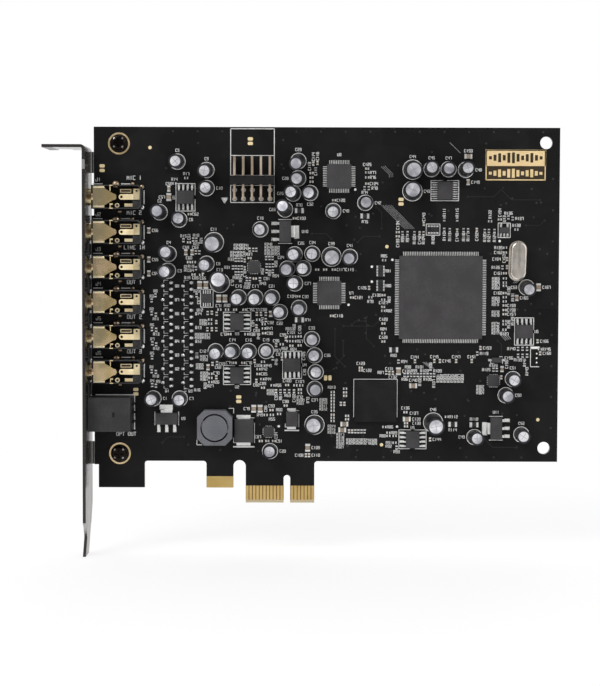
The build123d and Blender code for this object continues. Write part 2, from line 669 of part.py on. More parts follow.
# Audio jacks
jack_parts = {}
leg_hole = hypot(leg_width, strip_thickness) + 2 * lead_hole_fit
sleeve_hole = hypot(sleeve_leg_width, cover_thickness) + 2 * lead_hole_fit
pin_end = -face - tail_length
for number, axis in enumerate(jack_axes, start=1):
    axis_z = face + jack_axis_lift
    top = face + jack_height
    half_width = jack_width / 2
    pocket_half = half_width - jack_wall
    pocket_end = jack_rear - jack_rear_wall
    block_left = pocket_end - block_length
    cut_back = jack_rear - jack_rear_chamfer
    slim = half_width - jack_rear_chamfer
    shell = [
        (jack_front, axis - half_width), (cut_back, axis - half_width), (jack_rear, axis - slim),
        (jack_rear, axis + slim), (cut_back, axis + half_width), (jack_front, axis + half_width),
    ]
    housing = prism(shell, Plane((0, 0, face)), jack_height)
    pocket_cut = cut_back - jack_wall
    pocket_slim = pocket_half - (pocket_end - pocket_cut)
    room = [
        (jack_front + jack_front_wall, axis - pocket_half), (pocket_cut, axis - pocket_half),
        (pocket_end, axis - pocket_slim), (pocket_end, axis + pocket_slim),
        (pocket_cut, axis + pocket_half), (jack_front + jack_front_wall, axis + pocket_half),
    ]
    pocket = prism(room, Plane((0, 0, face)), jack_height)
    barrel_way = pipe(
        jack_front, jack_front + jack_front_wall, axis, axis_z, barrel_diameter + 2 * lead_hole_fit
    )
    corner = [
        (block_left, axis - pocket_half), (pocket_cut, axis - pocket_half), (pocket_end, axis - pocket_slim),
        (pocket_end, axis - pocket_half + block_width), (block_left, axis - pocket_half + block_width),
    ]
    corner_block = prism(corner, Plane((0, 0, face)), block_height)
    housing = housing.cut(pocket, barrel_way).solid().fuse(corner_block).solid()

    # Gold sleeve: barrel through the bracket, cover plate with a round nose, side walls, two legs
    barrel_start = outer_face - barrel_proud
    barrel = pipe(barrel_start, barrel_start + barrel_length, axis, axis_z, barrel_diameter)
    bore = pipe(barrel_start, barrel_start + barrel_length, axis, axis_z, jack_bore)
    plate_half = cover_width / 2
    wall_half = plate_half + cover_thickness
    cover_start = jack_front + jack_front_wall
    wall_start = cover_start + lead_hole_fit
    wall_end = wall_start + wall_length
    nose_x = jack_front + cover_length - cover_nose_radius
    shape = [
        (cover_start, axis - plate_half), (jack_front + cover_straight, axis - plate_half),
        (nose_x, axis - cover_nose_radius), (nose_x, axis + cover_nose_radius),
        (jack_front + cover_straight, axis + plate_half), (cover_start, axis + plate_half),
    ]
    cover = prism(shape, Plane((0, 0, top)), cover_thickness)
    nose = rod(nose_x, axis, 2 * cover_nose_radius, top, top + cover_thickness)
    sleeve_parts = [cover, nose]
    for side in (1, -1):
        wall_low, wall_high = sorted((axis + side * plate_half, axis + side * wall_half))
        wall_foot = top - wall_depth
        sleeve_parts.append(
            block(wall_start, wall_end, wall_low, wall_high, wall_foot, top + cover_thickness)
        )
        sleeve_parts.append(
            pipe(
                wall_start, wall_end, (wall_low + wall_high) / 2, top + cover_thickness - rolled_edge / 10,
                rolled_edge,
            )
        )
        leg_start = wall_end - sleeve_leg_width
        sleeve_parts.append(block(leg_start, wall_end, wall_low, wall_high, pin_end, wall_foot))
        leg_middle = (wall_low + wall_high) / 2
        holes.append((wall_end - sleeve_leg_width / 2, leg_middle, sleeve_hole))
    sleeve = barrel.fuse(*sleeve_parts).solid().cut(bore).solid()

    # Contact springs: tip strip with its plate and leg, ring spring, switch finger, hollow rivet
    strip_low = face + strip_lift
    strip_high = strip_low + strip_thickness
    strip_end = pocket_end - lead_hole_fit
    strip_start = strip_end - strip_from_rear + strip_width / 2
    strip_root = strip_end - plate_length + strip_overlap
    strip = block(
        strip_start, strip_root, axis - strip_width / 2, axis + strip_width / 2, strip_low, strip_high
    )
    tip = rod(strip_start, axis, strip_width, strip_low, strip_high)
    tip_hole = rod(strip_start, axis, strip_hole, strip_low, strip_high)
    strip = strip.fuse(tip).solid().cut(tip_hole).solid()
    strip = strip.rotate(Axis((strip_root, axis, strip_high), (0, 1, 0)), -strip_dip)
    plate_top = axis - strip_width / 2 + plate_width
    plate = block(
        strip_end - plate_length, strip_end, axis - strip_width / 2, plate_top, strip_low, strip_high
    )
    leg_y = plate_top - leg_width
    tip_leg = block(
        strip_end - strip_thickness, strip_end, leg_y - leg_width / 2, leg_y + leg_width / 2,
        pin_end, strip_low,
    )
    holes.append((strip_end - strip_thickness / 2, leg_y, leg_hole))
    sight = rod(strip_end - plate_length / 2, plate_top - plate_hole, plate_hole, strip_low, strip_high)
    spring = plate.fuse(strip, tip_leg).solid().cut(sight).solid()
    ring_y = axis + ring_spring_offset
    ring_end = jack_rear - ring_spring_from_rear
    ring_low = face + ring_spring_lift
    ring_spring = block(
        ring_end - ring_spring_length, ring_end, ring_y - ring_spring_width / 2,
        ring_y + ring_spring_width / 2, ring_low, ring_low + strip_thickness,
    )
    ring_leg = block(
        ring_end - strip_thickness, ring_end, ring_y - leg_width / 2, ring_y + leg_width / 2, pin_end, ring_low
    )
    holes.append((ring_end - strip_thickness / 2, ring_y, leg_hole))
    finger_y = axis - finger_offset
    finger_low = face + block_height - strip_thickness
    finger_high = face + block_height
    switch = block(
        jack_rear - finger_from_rear, block_left, finger_y - switch_finger_width / 2,
        finger_y + switch_finger_width / 2, finger_low, finger_high,
    )
    switch_leg = block(
        block_left - strip_thickness, block_left, finger_y - leg_width / 2, finger_y + leg_width / 2,
        pin_end, finger_low,
    )
    holes.append((block_left - strip_thickness / 2, finger_y, leg_hole))
    rivet_x = jack_front + rivet_from_front
    rivet_y = axis - rivet_offset
    rivet_top = face + rivet_lift
    rivet = rod(rivet_x, rivet_y, rivet_diameter, rivet_top - 2 * strip_thickness, rivet_top)
    rivet_pin = rod(rivet_x, rivet_y, rivet_diameter / 2, pin_end, rivet_top - 2 * strip_thickness)
    rivet_eye = rod(rivet_x, rivet_y, rivet_hole, rivet_top - strip_thickness, rivet_top)
    holes.append((rivet_x, rivet_y, rivet_diameter / 2 + 2 * lead_hole_fit))
    rivet = rivet.fuse(rivet_pin).solid().cut(rivet_eye).solid()
    contacts = [spring, ring_spring.fuse(ring_leg).solid(), switch.fuse(switch_leg).solid(), rivet]
    jack_parts[f"jack_{number}_housing"] = [housing]
    jack_parts[f"jack_{number}_sleeve"] = [sleeve]
    jack_parts[f"jack_{number}_contacts"] = contacts

# Optical socket
optical_front = inner_face + optical_gap
optical_rear = optical_front + optical_length
nose_front = outer_face - optical_nose_proud
optical_body = block(
    optical_front, optical_rear, optical_height - optical_width / 2, optical_height + optical_width / 2,
    face, face + optical_lift,
)
optical_nose = block(
    nose_front, optical_front, optical_height - optical_nose_width / 2,
    optical_height + optical_nose_width / 2, face + nose_low, face + nose_low + optical_nose_lift,
)
port_middle = face + optical_lift / 2
port_end = nose_front + optical_port_depth
port = block(
    nose_front, port_end, optical_height - optical_port / 2, optical_height + optical_port / 2,
    port_middle - optical_port / 2, port_middle + optical_port / 2,
)
optical_housing = optical_body.fuse(optical_nose).solid().cut(port).solid()
emitter = pipe(port_end - emitter_length, port_end, optical_height, port_middle, emitter_diameter)
optical_pins = []
pin_row = optical_rear + optical_pin_diameter
for offset in evenly(3, optical_pin_pitch):
    pin_y = optical_height + offset
    tail = rod(pin_row, pin_y, optical_pin_diameter, pin_end, port_middle)
    arm = pipe(optical_rear, pin_row, pin_y, port_middle - optical_pin_diameter / 2, optical_pin_diameter)
    optical_pins.append(tail.fuse(arm).solid())
    holes.append((pin_row, pin_y, optical_pin_diameter + 2 * lead_hole_fit))

# Right-angle header: two rows of square pins in one strip, one lower pin left out as a key
header_x = across(header_center)
strip_bottom = upward(header_strip_low)
strip_top = strip_bottom + header_strip_height
strip_half = header_columns * header_pitch / 2
header_strip = block(
    header_x - strip_half, header_x + strip_half, strip_bottom, strip_top, face, face + 2 * header_pitch
)
pin_half = header_pin / 2
header_pins = []
for row in range(2):
    lift = header_first_lift + row * header_pitch
    leg_line = strip_bottom - header_first_leg - row * header_pitch
    for column, offset in enumerate(evenly(header_columns, header_pitch)):
        if row == 0 and column == header_key_column:
            continue
        x = header_x + offset
        shaft = block(
            x - pin_half, x + pin_half, leg_line - pin_half, strip_top + header_reach,
            face + lift - pin_half, face + lift + pin_half,
        )
        leg = block(
            x - pin_half, x + pin_half, leg_line - pin_half, leg_line + pin_half,
            pin_end, face + lift + pin_half,
        )
        header_pins.append(shaft.fuse(leg).solid())
        holes.append((x, leg_line, hypot(header_pin, header_pin) + 2 * lead_hole_fit))
sockets = [
    block(
        header_x + offset - pin_half, header_x + offset + pin_half, strip_bottom, strip_top,
        face + header_first_lift + row * header_pitch - pin_half,
        face + header_first_lift + row * header_pitch + pin_half,
    )
    for row in range(2)
    for column, offset in enumerate(evenly(header_columns, header_pitch))
    if row or column != header_key_column
]
header_strip = header_strip.cut(*sockets).solid()

# Square packages with leads on four sides
four_sides = (0, 90, 180, 270)
fine_lead = gull_lead(fine_lead_width, fine_lead_reach, shoulder_of(processor_height))
x, y = place(processor_place)
processor = [package(x, y, processor_side, processor_side, processor_height)]
processor_row = evenly(processor_leads, fine_pitch)
processor_leads_made = []
for turn in four_sides:
    processor_leads_made += lead_row(fine_lead, x, y, processor_side / 2, turn, processor_row)
converters = []
converter_leads_made = []
converter_lead = gull_lead(fine_lead_width, fine_lead_reach, shoulder_of(converter_height))
for x, y in map(place, converter_places):
    converters.append(package(x, y, converter_side, converter_side, converter_height))
    for turn in four_sides:
        row = evenly(converter_leads, fine_pitch)
        converter_leads_made += lead_row(converter_lead, x, y, converter_side / 2, turn, row)

# Packages with leads on two sides
x, y = place(output_place)
output = [package(x, y, output_width, output_length, output_height)]
output_lead = gull_lead(output_lead_width, output_lead_reach, shoulder_of(output_height))
output_leads_made = []
for turn in (0, 180):
    row = evenly(output_leads, output_pitch)
    output_leads_made += lead_row(output_lead, x, y, output_width / 2, turn, row)

amplifiers = []
amplifier_leads_made = []
amplifier_lead = gull_lead(amplifier_lead_width, amplifier_lead_reach, shoulder_of(amplifier_height))
for spots, turned in ((amplifiers_flat, 0), (amplifiers_upright, 90)):
    for x, y in map(place, spots):
        sides = (amplifier_length, amplifier_width) if turned else (amplifier_width, amplifier_length)
        amplifiers.append(package(x, y, *sides, amplifier_height))
        for turn in (turned, turned + 180):
            row = evenly(amplifier_leads, amplifier_pitch)
            amplifier_leads_made += lead_row(amplifier_lead, x, y, amplifier_width / 2, turn, row)

small_chips = []
small_leads_made = []
small_lead = gull_lead(output_lead_width, small_lead_reach, shoulder_of(small_height))
for x, y in map(place, small_chip_places):
    small_chips.append(package(x, y, small_length, small_width, small_height))
    for turn in (90, 270):
        row = evenly(small_leads, output_pitch)
        small_leads_made += lead_row(small_lead, x, y, small_width / 2, turn, row)
tiny_lead = gull_lead(tiny_lead_width, tiny_lead_reach, shoulder_of(tiny_height))
for x, y in map(place, tiny_chip_places):
    small_chips.append(package(x, y, tiny_length, tiny_width, tiny_height))
    small_leads_made += lead_row(tiny_lead, x, y, tiny_width / 2, 90, (-tiny_pitch, tiny_pitch))
    small_leads_made += lead_row(tiny_lead, x, y, tiny_width / 2, 270, evenly(3, tiny_pitch))
flat_chips = []
for column, row, side in flat_chip_sizes:
    x, y = place((column, row))
    flat_chips.append(slab(x, y, side, side, 0, flat_height))

# Bridge chip on its solder balls
x, y = place(bridge_place)
ball_height = ball_diameter * 0.7
bridge = [slab(x, y, bridge_side, bridge_side, ball_height, ball_height + bridge_height)]
balls = []
ball_offsets = evenly(ball_rows, ball_pitch)
for across_offset in ball_offsets:
    for up_offset in ball_offsets:
        if max(abs(across_offset), abs(up_offset)) > ball_offsets[-1] - 1.5 * ball_pitch:
            balls.append(rod(x + across_offset, y + up_offset, ball_diameter, face, face + ball_height))

# Regulators: three legs on one side, a broad tab on the other
regulators = []
regulator_metal = []
leg = gull_lead(regulator_lead_width, regulator_lead_reach, shoulder_of(regulator_height))
tab = gull_lead(regulator_tab_width, regulator_tab_reach, shoulder_of(regulator_height))
for column, row, turn in regulator_turns:
    x, y = place((column, row))
    body = package(0, 0, regulator_width, regulator_length, regulator_height)
    regulators.append(body.moved(Location((x, y, 0), (0, 0, turn))))
    regulator_metal += lead_row(tab, x, y, regulator_width / 2, turn, (0,))
    legs = evenly(3, regulator_pitch)
    regulator_metal += lead_row(leg, x, y, regulator_width / 2, turn + 180, legs)

# Mute transistors in two columns
transistors = []
transistor_leads = []
short_leg = gull_lead(transistor_lead_width, transistor_lead_reach, shoulder_of(transistor_height))
for column in transistor_columns:
    for number in range(transistor_rows):
        x, y = place((column, transistor_top_row - number * transistor_pitch))
        transistors.append(package(x, y, transistor_width, transistor_length, transistor_height))
        half = transistor_width / 2
        transistor_leads += lead_row(short_leg, x, y, half, 0, (-tiny_pitch, tiny_pitch))
        transistor_leads += lead_row(short_leg, x, y, half, 180, (0,))

# Power inductor: square ferrite shield around a drum core and its winding
x, y = place(inductor_place)
shield_low = inductor_pad_thickness
shield = slab(x, y, inductor_side, inductor_side, shield_low, shield_low + inductor_height)
shield = shield.chamfer(inductor_chamfer, None, shield.edges().filter_by(Axis.Z))
core_low = face + shield_low
core_high = core_low + inductor_height
shield = shield.cut(rod(x, y, inductor_bore, core_low, core_high)).solid()
core = rod(x, y, core_post, core_low, core_high).fuse(
    rod(x, y, core_diameter, core_low, core_low + core_flange),
    rod(x, y, core_diameter, core_high - core_flange, core_high),
).solid()
coil_low = core_low + core_flange + coil_fit
coil_high = core_high - core_flange - coil_fit
coil = rod(x, y, core_diameter - 2 * coil_fit, coil_low, coil_high)
coil = coil.cut(rod(x, y, core_post + 2 * coil_fit, coil_low, coil_high)).solid()
pad_offset = (inductor_side - inductor_pad_width) / 2
inductor_pads = [
    slab(x + side * pad_offset, y, inductor_pad_width, inductor_pad_width, 0, inductor_pad_thickness)
    for side in (-1, 1)
]

# Diodes with folded terminals at their ends
diodes = []
diode_terminals = []
for spot, size in ((large_diode_place, "large"), (medium_diode_place, "medium")):
    x, y = place(spot)
    length, width, height, terminal_width, reach = diode_sizes[size]
    diodes.append(package(x, y, width, length, height))
    terminal = gull_lead(terminal_width, reach, shoulder_of(height))
    for turn in (90, 270):
        diode_terminals += lead_row(terminal, x, y, length / 2, turn, (0,))
x, y = place(small_diode_place)
diodes.append(package(x, y, tiny_length, transistor_width, transistor_height))
for turn in (0, 180):
    diode_terminals += lead_row(short_leg, x, y, tiny_length / 2, turn, (0,))

# Crystal: stadium can on a flanged base, two leads
x, y = place(crystal_place)
crystal_turned = Location((x, y, face), (0, 0, 90 + crystal_turn))
base_size = (crystal_length + 2 * crystal_flange, crystal_width + 2 * crystal_flange)
crystal_base = extrude(SlotOverall(*base_size), amount=crystal_base_height).solid()
can_rise = crystal_height - crystal_base_height
crystal_can = extrude(SlotOverall(crystal_length, crystal_width), amount=can_rise).solid()
rim = crystal_can.faces().sort_by(Axis.Z)[-1].edges()
crystal_can = crystal_can.fillet(crystal_edge_radius, rim)
crystal_can = crystal_can.moved(crystal_turned * Location((0, 0, crystal_base_height)))
crystal_base = crystal_base.moved(crystal_turned)
crystal_leads = []
for side in (-1, 1):
    spot = (crystal_turned * Location((side * crystal_lead_pitch / 2, 0, 0))).position
    crystal_leads.append(rod(spot.X, spot.Y, crystal_lead_diameter, pin_end, face))
    holes.append((spot.X, spot.Y, crystal_lead_diameter + 2 * lead_hole_fit))


def electrolytic(diameter):
    """Can, sleeve and seal of an electrolytic capacitor, standing on its rim at the origin."""
    can_radius = diameter / 2 - sleeve_thickness
    can = Solid.make_cylinder(can_radius, can_height - seal_inset, Plane((0, 0, seal_inset)))
    can = can.fillet(can_edge_radius, can.faces().sort_by(Axis.Z)[-1].edges())
    seal_room = rod(0, 0, 2 * (can_radius - sleeve_thickness), seal_inset, seal_inset + seal_height)
    can = can.cut(seal_room).solid()
    seal = rod(0, 0, 2 * (can_radius - sleeve_thickness), seal_inset, seal_inset + seal_height)
    sleeve = rod(0, 0, diameter, 0, can_height + sleeve_thickness)
    lip = rod(0, 0, 2 * (can_radius - sleeve_lip), can_height, can_height + sleeve_thickness)
    inside = rod(0, 0, 2 * can_radius, 0, can_height)
    return can, sleeve.cut(inside, lip).solid(), seal


# Electrolytic capacitors, each leaning a little on its leads
cans = []
sleeves = []
seals = []
can_leads = []
can_kinds = (
    (small_cans, small_can_diameter, small_lead_pitch),
    (large_cans, large_can_diameter, large_lead_pitch),
)
for spots, diameter, lead_pitch in can_kinds:
    can, sleeve, seal = electrolytic(diameter)
    for column, row, lean_right, lean_up in spots:
        x, y = place((column, row))
        slope = sin(atan2(hypot(lean_right, lean_up), can_height))
        stand = face + diameter / 2 * slope + rest_gap
        turn = (-degrees(atan2(lean_up, can_height)), degrees(atan2(lean_right, can_height)), 0)
        seat = Location((x, y, stand), turn)
        cans.append(can.moved(seat))
        sleeves.append(sleeve.moved(seat))
        seals.append(seal.moved(seat))
        for side in (-1, 1):
            lead_x = x + side * lead_pitch / 2
            lead_top = stand + seal_inset - lead_pitch * slope - rest_gap
            can_leads.append(rod(lead_x, y, can_lead_diameter, pin_end, lead_top))
            holes.append((lead_x, y, can_lead_diameter + 2 * lead_hole_fit))

# Chip resistors, capacitors and beads: a body between two terminals
chip_resistors = []
chip_capacitors = []
chip_terminals = []


def chip(spot, upright, size, bodies):
    """Adds a two-terminal chip that lies along X, or along Y when upright."""
    length, width, height, terminal = size
    seat = Location((*place(spot), face), (0, 0, 90 if upright else 0))
    reach = length / 2
    inner = reach - terminal
    bodies.append(block(-inner, inner, -width / 2, width / 2, 0, height).moved(seat))
    for low, high in ((-reach, -inner), (inner, reach)):
        chip_terminals.append(block(low, high, -width / 2, width / 2, 0, height).moved(seat))


chip_lists = (
    (upright_resistors, True, tiny_chip, chip_resistors),
    (flat_resistors, False, tiny_chip, chip_resistors),
    (upright_capacitors, True, tiny_chip, chip_capacitors),
    (flat_capacitors, False, tiny_chip, chip_capacitors),
    (upright_medium, True, medium_chip, chip_capacitors),
    (upright_broad, True, broad_chip, chip_capacitors),
    (flat_broad, False, broad_chip, chip_capacitors),
    (flat_beads, False, bead_chip, chip_resistors),
    ([ferrite_place], False, bead_chip, chip_resistors),
)
for spots, upright, size, bodies in chip_lists:
    for spot in spots:
        chip(spot, upright, size, bodies)

# Resistor networks: one body with four pairs of terminals
for spots, turn in ((networks_flat, 0), (networks_upright, 90)):
    for spot in spots:
        seat = Location((*place(spot), face), (0, 0, turn))
        body_half = network_width / 2
        body = block(-body_half, body_half, -network_side / 2, network_side / 2, 0, network_height)
        chip_resistors.append(body.moved(seat))
        for side in (-1, 1):
            inner, outer = sorted((side * body_half, side * (body_half + network_terminal)))
            for offset in evenly(4, network_pitch):
                half = network_terminal_width / 2
                foot = block(inner, outer, offset - half, offset + half, 0, network_height)
                chip_terminals.append(foot.moved(seat))

# Every hole of the board at once
cuts += [rod(x, y, diameter, -face, face) for x, y, diameter in holes]
board = board.cut(*cuts).solid()

os.makedirs("parts", exist_ok=True)
nodes = {
    "circuit_board": [board],
    "edge_contacts": fingers,
    "bracket": [bracket],
    "bracket_screws": screws,
    **jack_parts,
    "optical_housing": [optical_housing],
    "optical_emitter": [emitter],
    "optical_pins": optical_pins,
    "header_strip": [header_strip],
    "header_pins": header_pins,
    "audio_processor": processor,
    "audio_processor_leads": processor_leads_made,
    "converter_chips": converters,
    "converter_leads": converter_leads_made,
    "output_chip": output,
    "output_chip_leads": output_leads_made,
    "amplifier_chips": amplifiers,
    "amplifier_leads": amplifier_leads_made,
    "small_chips": small_chips,
    "small_chip_leads": small_leads_made,
    "flat_chips": flat_chips,
    "bridge_chip": bridge,
    "bridge_chip_balls": balls,
    "regulators": regulators,
    "regulator_leads": regulator_metal,
    "mute_transistors": transistors,
    "mute_transistor_leads": transistor_leads,
    "inductor_shield": [shield],
    "inductor_core": [core],
    "inductor_coil": [coil],
    "inductor_pads": inductor_pads,
    "diodes": diodes,
    "diode_terminals": diode_terminals,
    "crystal_can": [crystal_can],
    "crystal_base": [crystal_base],
    "crystal_leads": crystal_leads,
    "capacitor_cans": cans,
    "capacitor_sleeves": sleeves,
    "capacitor_seals": seals,
    "capacitor_leads": can_leads,
    "chip_resistors": chip_resistors,
    "chip_capacitors": chip_capacitors,
    "chip_terminals": chip_terminals,
}
for name, solids in nodes.items():
    write(name, solids)
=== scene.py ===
"""Dresses a sound card: finishes for its solids, solder, gold, printed marks, light and camera."""
import json
import logging
import math
import random
from dataclasses import dataclass, field
from enum import Enum
from functools import lru_cache
from typing import Callable, Iterable

import bmesh
import bpy
from mathutils import Matrix, Vector

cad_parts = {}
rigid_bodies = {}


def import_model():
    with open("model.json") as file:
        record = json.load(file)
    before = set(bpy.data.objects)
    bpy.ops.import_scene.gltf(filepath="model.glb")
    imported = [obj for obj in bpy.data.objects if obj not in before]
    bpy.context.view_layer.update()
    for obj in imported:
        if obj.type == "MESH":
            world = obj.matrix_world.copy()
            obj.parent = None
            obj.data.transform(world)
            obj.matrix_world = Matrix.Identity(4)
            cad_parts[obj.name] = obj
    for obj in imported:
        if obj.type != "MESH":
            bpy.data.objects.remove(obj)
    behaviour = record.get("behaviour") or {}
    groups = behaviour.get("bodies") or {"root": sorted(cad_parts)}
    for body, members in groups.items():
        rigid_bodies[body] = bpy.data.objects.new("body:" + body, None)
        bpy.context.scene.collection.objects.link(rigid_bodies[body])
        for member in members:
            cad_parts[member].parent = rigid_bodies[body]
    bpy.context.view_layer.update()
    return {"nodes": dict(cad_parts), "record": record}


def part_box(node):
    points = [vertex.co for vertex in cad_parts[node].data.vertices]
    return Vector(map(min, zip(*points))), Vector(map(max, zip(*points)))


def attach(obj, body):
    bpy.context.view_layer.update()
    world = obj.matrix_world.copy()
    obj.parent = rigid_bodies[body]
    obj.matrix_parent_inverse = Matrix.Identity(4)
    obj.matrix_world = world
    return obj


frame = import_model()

LOG = logging.getLogger("sound_card")
# One millimetre in metres, and half of the board's thickness in millimetres
MM = 0.001
HALF_BOARD = 0.785

Colour = tuple[float, float, float]
Point = tuple[float, float, float]
Rect = tuple[float, float, float, float]
Spot = tuple[float, float]
Line = tuple[float, float, float, float, float]


class Side(Enum):
    """The two faces of the board."""

    FRONT = -1
    BACK = 1


class Trade(Enum):
    """What a part does, for its printed letter."""

    RESISTOR = "R"
    CAPACITOR = "C"
    CHIP = "U"
    TRANSISTOR = "Q"


# Shader helpers


class Shader:
    """A node tree with short calls to add and link nodes."""

    def __init__(self, tree: bpy.types.NodeTree) -> None:
        """Keeps the tree."""
        self.tree = tree

    def add(self, kind: str, **settings: object) -> bpy.types.Node:
        """Adds a node.

        Args:
            kind: The node's type name.
            settings: Properties, set on the node itself.

        Returns:
            The new node.
        """
        node = self.tree.nodes.new(kind)
        for name, value in settings.items():
            setattr(node, name, value)
        return node

    def link(self, source: bpy.types.NodeSocket, target: bpy.types.NodeSocket) -> None:
        """Joins two sockets."""
        self.tree.links.new(source, target)

    def math(self, operation: str, first: bpy.types.NodeSocket, second: object) -> bpy.types.NodeSocket:
        """Works out one value from two.

        Args:
            operation: The operation's name.
            first: Socket of the first value.
            second: Socket of the second value, or a number.

        Returns:
            The result's socket.
        """
        node = self.add("ShaderNodeMath", operation=operation)
        self.link(first, node.inputs[0])
        if isinstance(second, float):
            node.inputs[1].default_value = second
        else:
            self.link(second, node.inputs[1])
        return node.outputs["Value"]

    def ramp(
        self, source: bpy.types.NodeSocket, low: float, high: float, start: float = 0.0, stop: float = 1.0
    ) -> bpy.types.NodeSocket:
        """Maps a value onto a range.

        Args:
            source: The value's socket.
            low: Result at the start.
            high: Result at the stop.
            start: Value at which the range starts.
            stop: Value at which it stops.

        Returns:
            The mapped value's socket.
        """
        node = self.add("ShaderNodeMapRange", interpolation_type="SMOOTHSTEP")
        for name, value in (("From Min", start), ("From Max", stop), ("To Min", low), ("To Max", high)):
            node.inputs[name].default_value = value
        self.link(source, node.inputs["Value"])
        return node.outputs["Result"]

    def blend(self, source: bpy.types.NodeSocket, first: object, second: object) -> bpy.types.NodeSocket:
        """Mixes two colours by a value.

        Args:
            source: The value's socket.
            first: Colour at 0, or its socket.
            second: Colour at 1, or its socket.

        Returns:
            The mixed colour's socket.
        """
        node = self.add("ShaderNodeMix", data_type="RGBA")
        for name, colour in (("A", first), ("B", second)):
            if isinstance(colour, tuple):
                node.inputs[name].default_value = (*colour, 1.0)
            else:
                self.link(colour, node.inputs[name])
        self.link(source, node.inputs["Factor"])
        return node.outputs["Result"]

    def split(self, kind: str, output: str) -> bpy.types.Node:
        """Splits a vector of an input node.

        Args:
            kind: The input node's type name.
            output: Its vector output.

        Returns:
            The node with the three parts.
        """
        source = self.add(kind)
        parts = self.add("ShaderNodeSeparateXYZ")
        self.link(source.outputs[output], parts.inputs["Vector"])
        return parts

    def apart(self, source: bpy.types.NodeSocket, value: float) -> bpy.types.NodeSocket:
        """Works out the distance of a value from a number.

        Args:
            source: The value's socket.
            value: The number.

        Returns:
            The distance's socket.
        """
        node = self.add("ShaderNodeMath", operation="ABSOLUTE")
        self.link(self.math("SUBTRACT", source, value), node.inputs[0])
        return node.outputs["Value"]

    def facing(self) -> bpy.types.NodeSocket:
        """How far a face looks along Y, either way."""
        return self.apart(self.split("ShaderNodeNewGeometry", "Normal").outputs["Y"], 0.0)


class Effects:
    """Shared surface effects, each a node group that is built once."""

    @staticmethod
    def _group(name: str, inputs: dict[str, float]) -> tuple[Shader, bpy.types.Node, bpy.types.Node]:
        """Starts a group with float inputs and one Value output.

        Args:
            name: The group's name.
            inputs: Its inputs with their usual values.

        Returns:
            The group's tree, its input node and its output node.
        """
        tree = bpy.data.node_groups.new(name, "ShaderNodeTree")
        for label, value in inputs.items():
            socket = tree.interface.new_socket(label, in_out="INPUT", socket_type="NodeSocketFloat")
            socket.default_value = value
        tree.interface.new_socket("Value", in_out="OUTPUT", socket_type="NodeSocketFloat")
        shader = Shader(tree)
        return shader, shader.add("NodeGroupInput"), shader.add("NodeGroupOutput")

    @classmethod
    def grain(cls) -> bpy.types.NodeTree:
        """A fine even grain in object space.

        Returns:
            The group's tree.
        """
        found = bpy.data.node_groups.get("fine_grain")
        if found:
            return found
        shader, start, end = cls._group("fine_grain", {"Scale": 2000.0, "Detail": 3.0})
        place = shader.add("ShaderNodeTexCoord")
        noise = shader.add("ShaderNodeTexNoise")
        shader.link(place.outputs["Object"], noise.inputs["Vector"])
        shader.link(start.outputs["Scale"], noise.inputs["Scale"])
        shader.link(start.outputs["Detail"], noise.inputs["Detail"])
        shader.link(noise.outputs["Fac"], end.inputs["Value"])
        return shader.tree

    @classmethod
    def streaks(cls) -> bpy.types.NodeTree:
        """Drawn or brushed streaks, with a stretch for each axis.

        Returns:
            The group's tree.
        """
        found = bpy.data.node_groups.get("drawn_streaks")
        if found:
            return found
        inputs = {"Scale": 500.0, "Along X": 1.0, "Along Y": 1.0, "Along Z": 1.0}
        shader, start, end = cls._group("drawn_streaks", inputs)
        place = shader.add("ShaderNodeTexCoord")
        axes = shader.add("ShaderNodeCombineXYZ")
        for axis in "XYZ":
            shader.link(start.outputs[f"Along {axis}"], axes.inputs[axis])
        stretch = shader.add("ShaderNodeVectorMath", operation="MULTIPLY")
        shader.link(place.outputs["Object"], stretch.inputs[0])
        shader.link(axes.outputs["Vector"], stretch.inputs[1])
        noise = shader.add("ShaderNodeTexNoise")
        noise.inputs["Detail"].default_value = 4.0
        shader.link(stretch.outputs["Vector"], noise.inputs["Vector"])
        shader.link(start.outputs["Scale"], noise.inputs["Scale"])
        shader.link(noise.outputs["Fac"], end.inputs["Value"])
        return shader.tree

    @staticmethod
    def place(shader: Shader, tree: bpy.types.NodeTree, **values: float) -> bpy.types.NodeSocket:
        """Puts an effect into a material.

        Args:
            shader: The material's tree.
            tree: The effect's group.
            values: Input values, with underscores for spaces.

        Returns:
            The effect's value socket.
        """
        node = shader.add("ShaderNodeGroup", node_tree=tree)
        for name, value in values.items():
            node.inputs[name.replace("_", " ")].default_value = value
        return node.outputs["Value"]


def fresh(name: str) -> tuple[bpy.types.Material, Shader, bpy.types.Node]:
    """Starts a material.

    Args:
        name: The material's name.

    Returns:
        The material, its tree and its principled shader.
    """
    material = bpy.data.materials.new(name)
    material.use_nodes = True
    return material, Shader(material.node_tree), material.node_tree.nodes["Principled BSDF"]


RELIEF_STRENGTH = 0.6


def relief(shader: Shader, body: bpy.types.Node, height: bpy.types.NodeSocket, depth: float) -> None:
    """Feeds a height into the normal.

    Args:
        shader: The material's tree.
        body: Its principled shader.
        height: The height's socket.
        depth: Depth of the relief in metres.
    """
    bump = shader.add("ShaderNodeBump")
    bump.inputs["Strength"].default_value = RELIEF_STRENGTH
    bump.inputs["Distance"].default_value = depth
    shader.link(height, bump.inputs["Height"])
    shader.link(bump.outputs["Normal"], body.inputs["Normal"])


# Finishes

# Parts of a noise's range over which a finish changes
NOISE_SPAN = (0.25, 0.75)
MARK_SPAN = (0.3, 0.7)


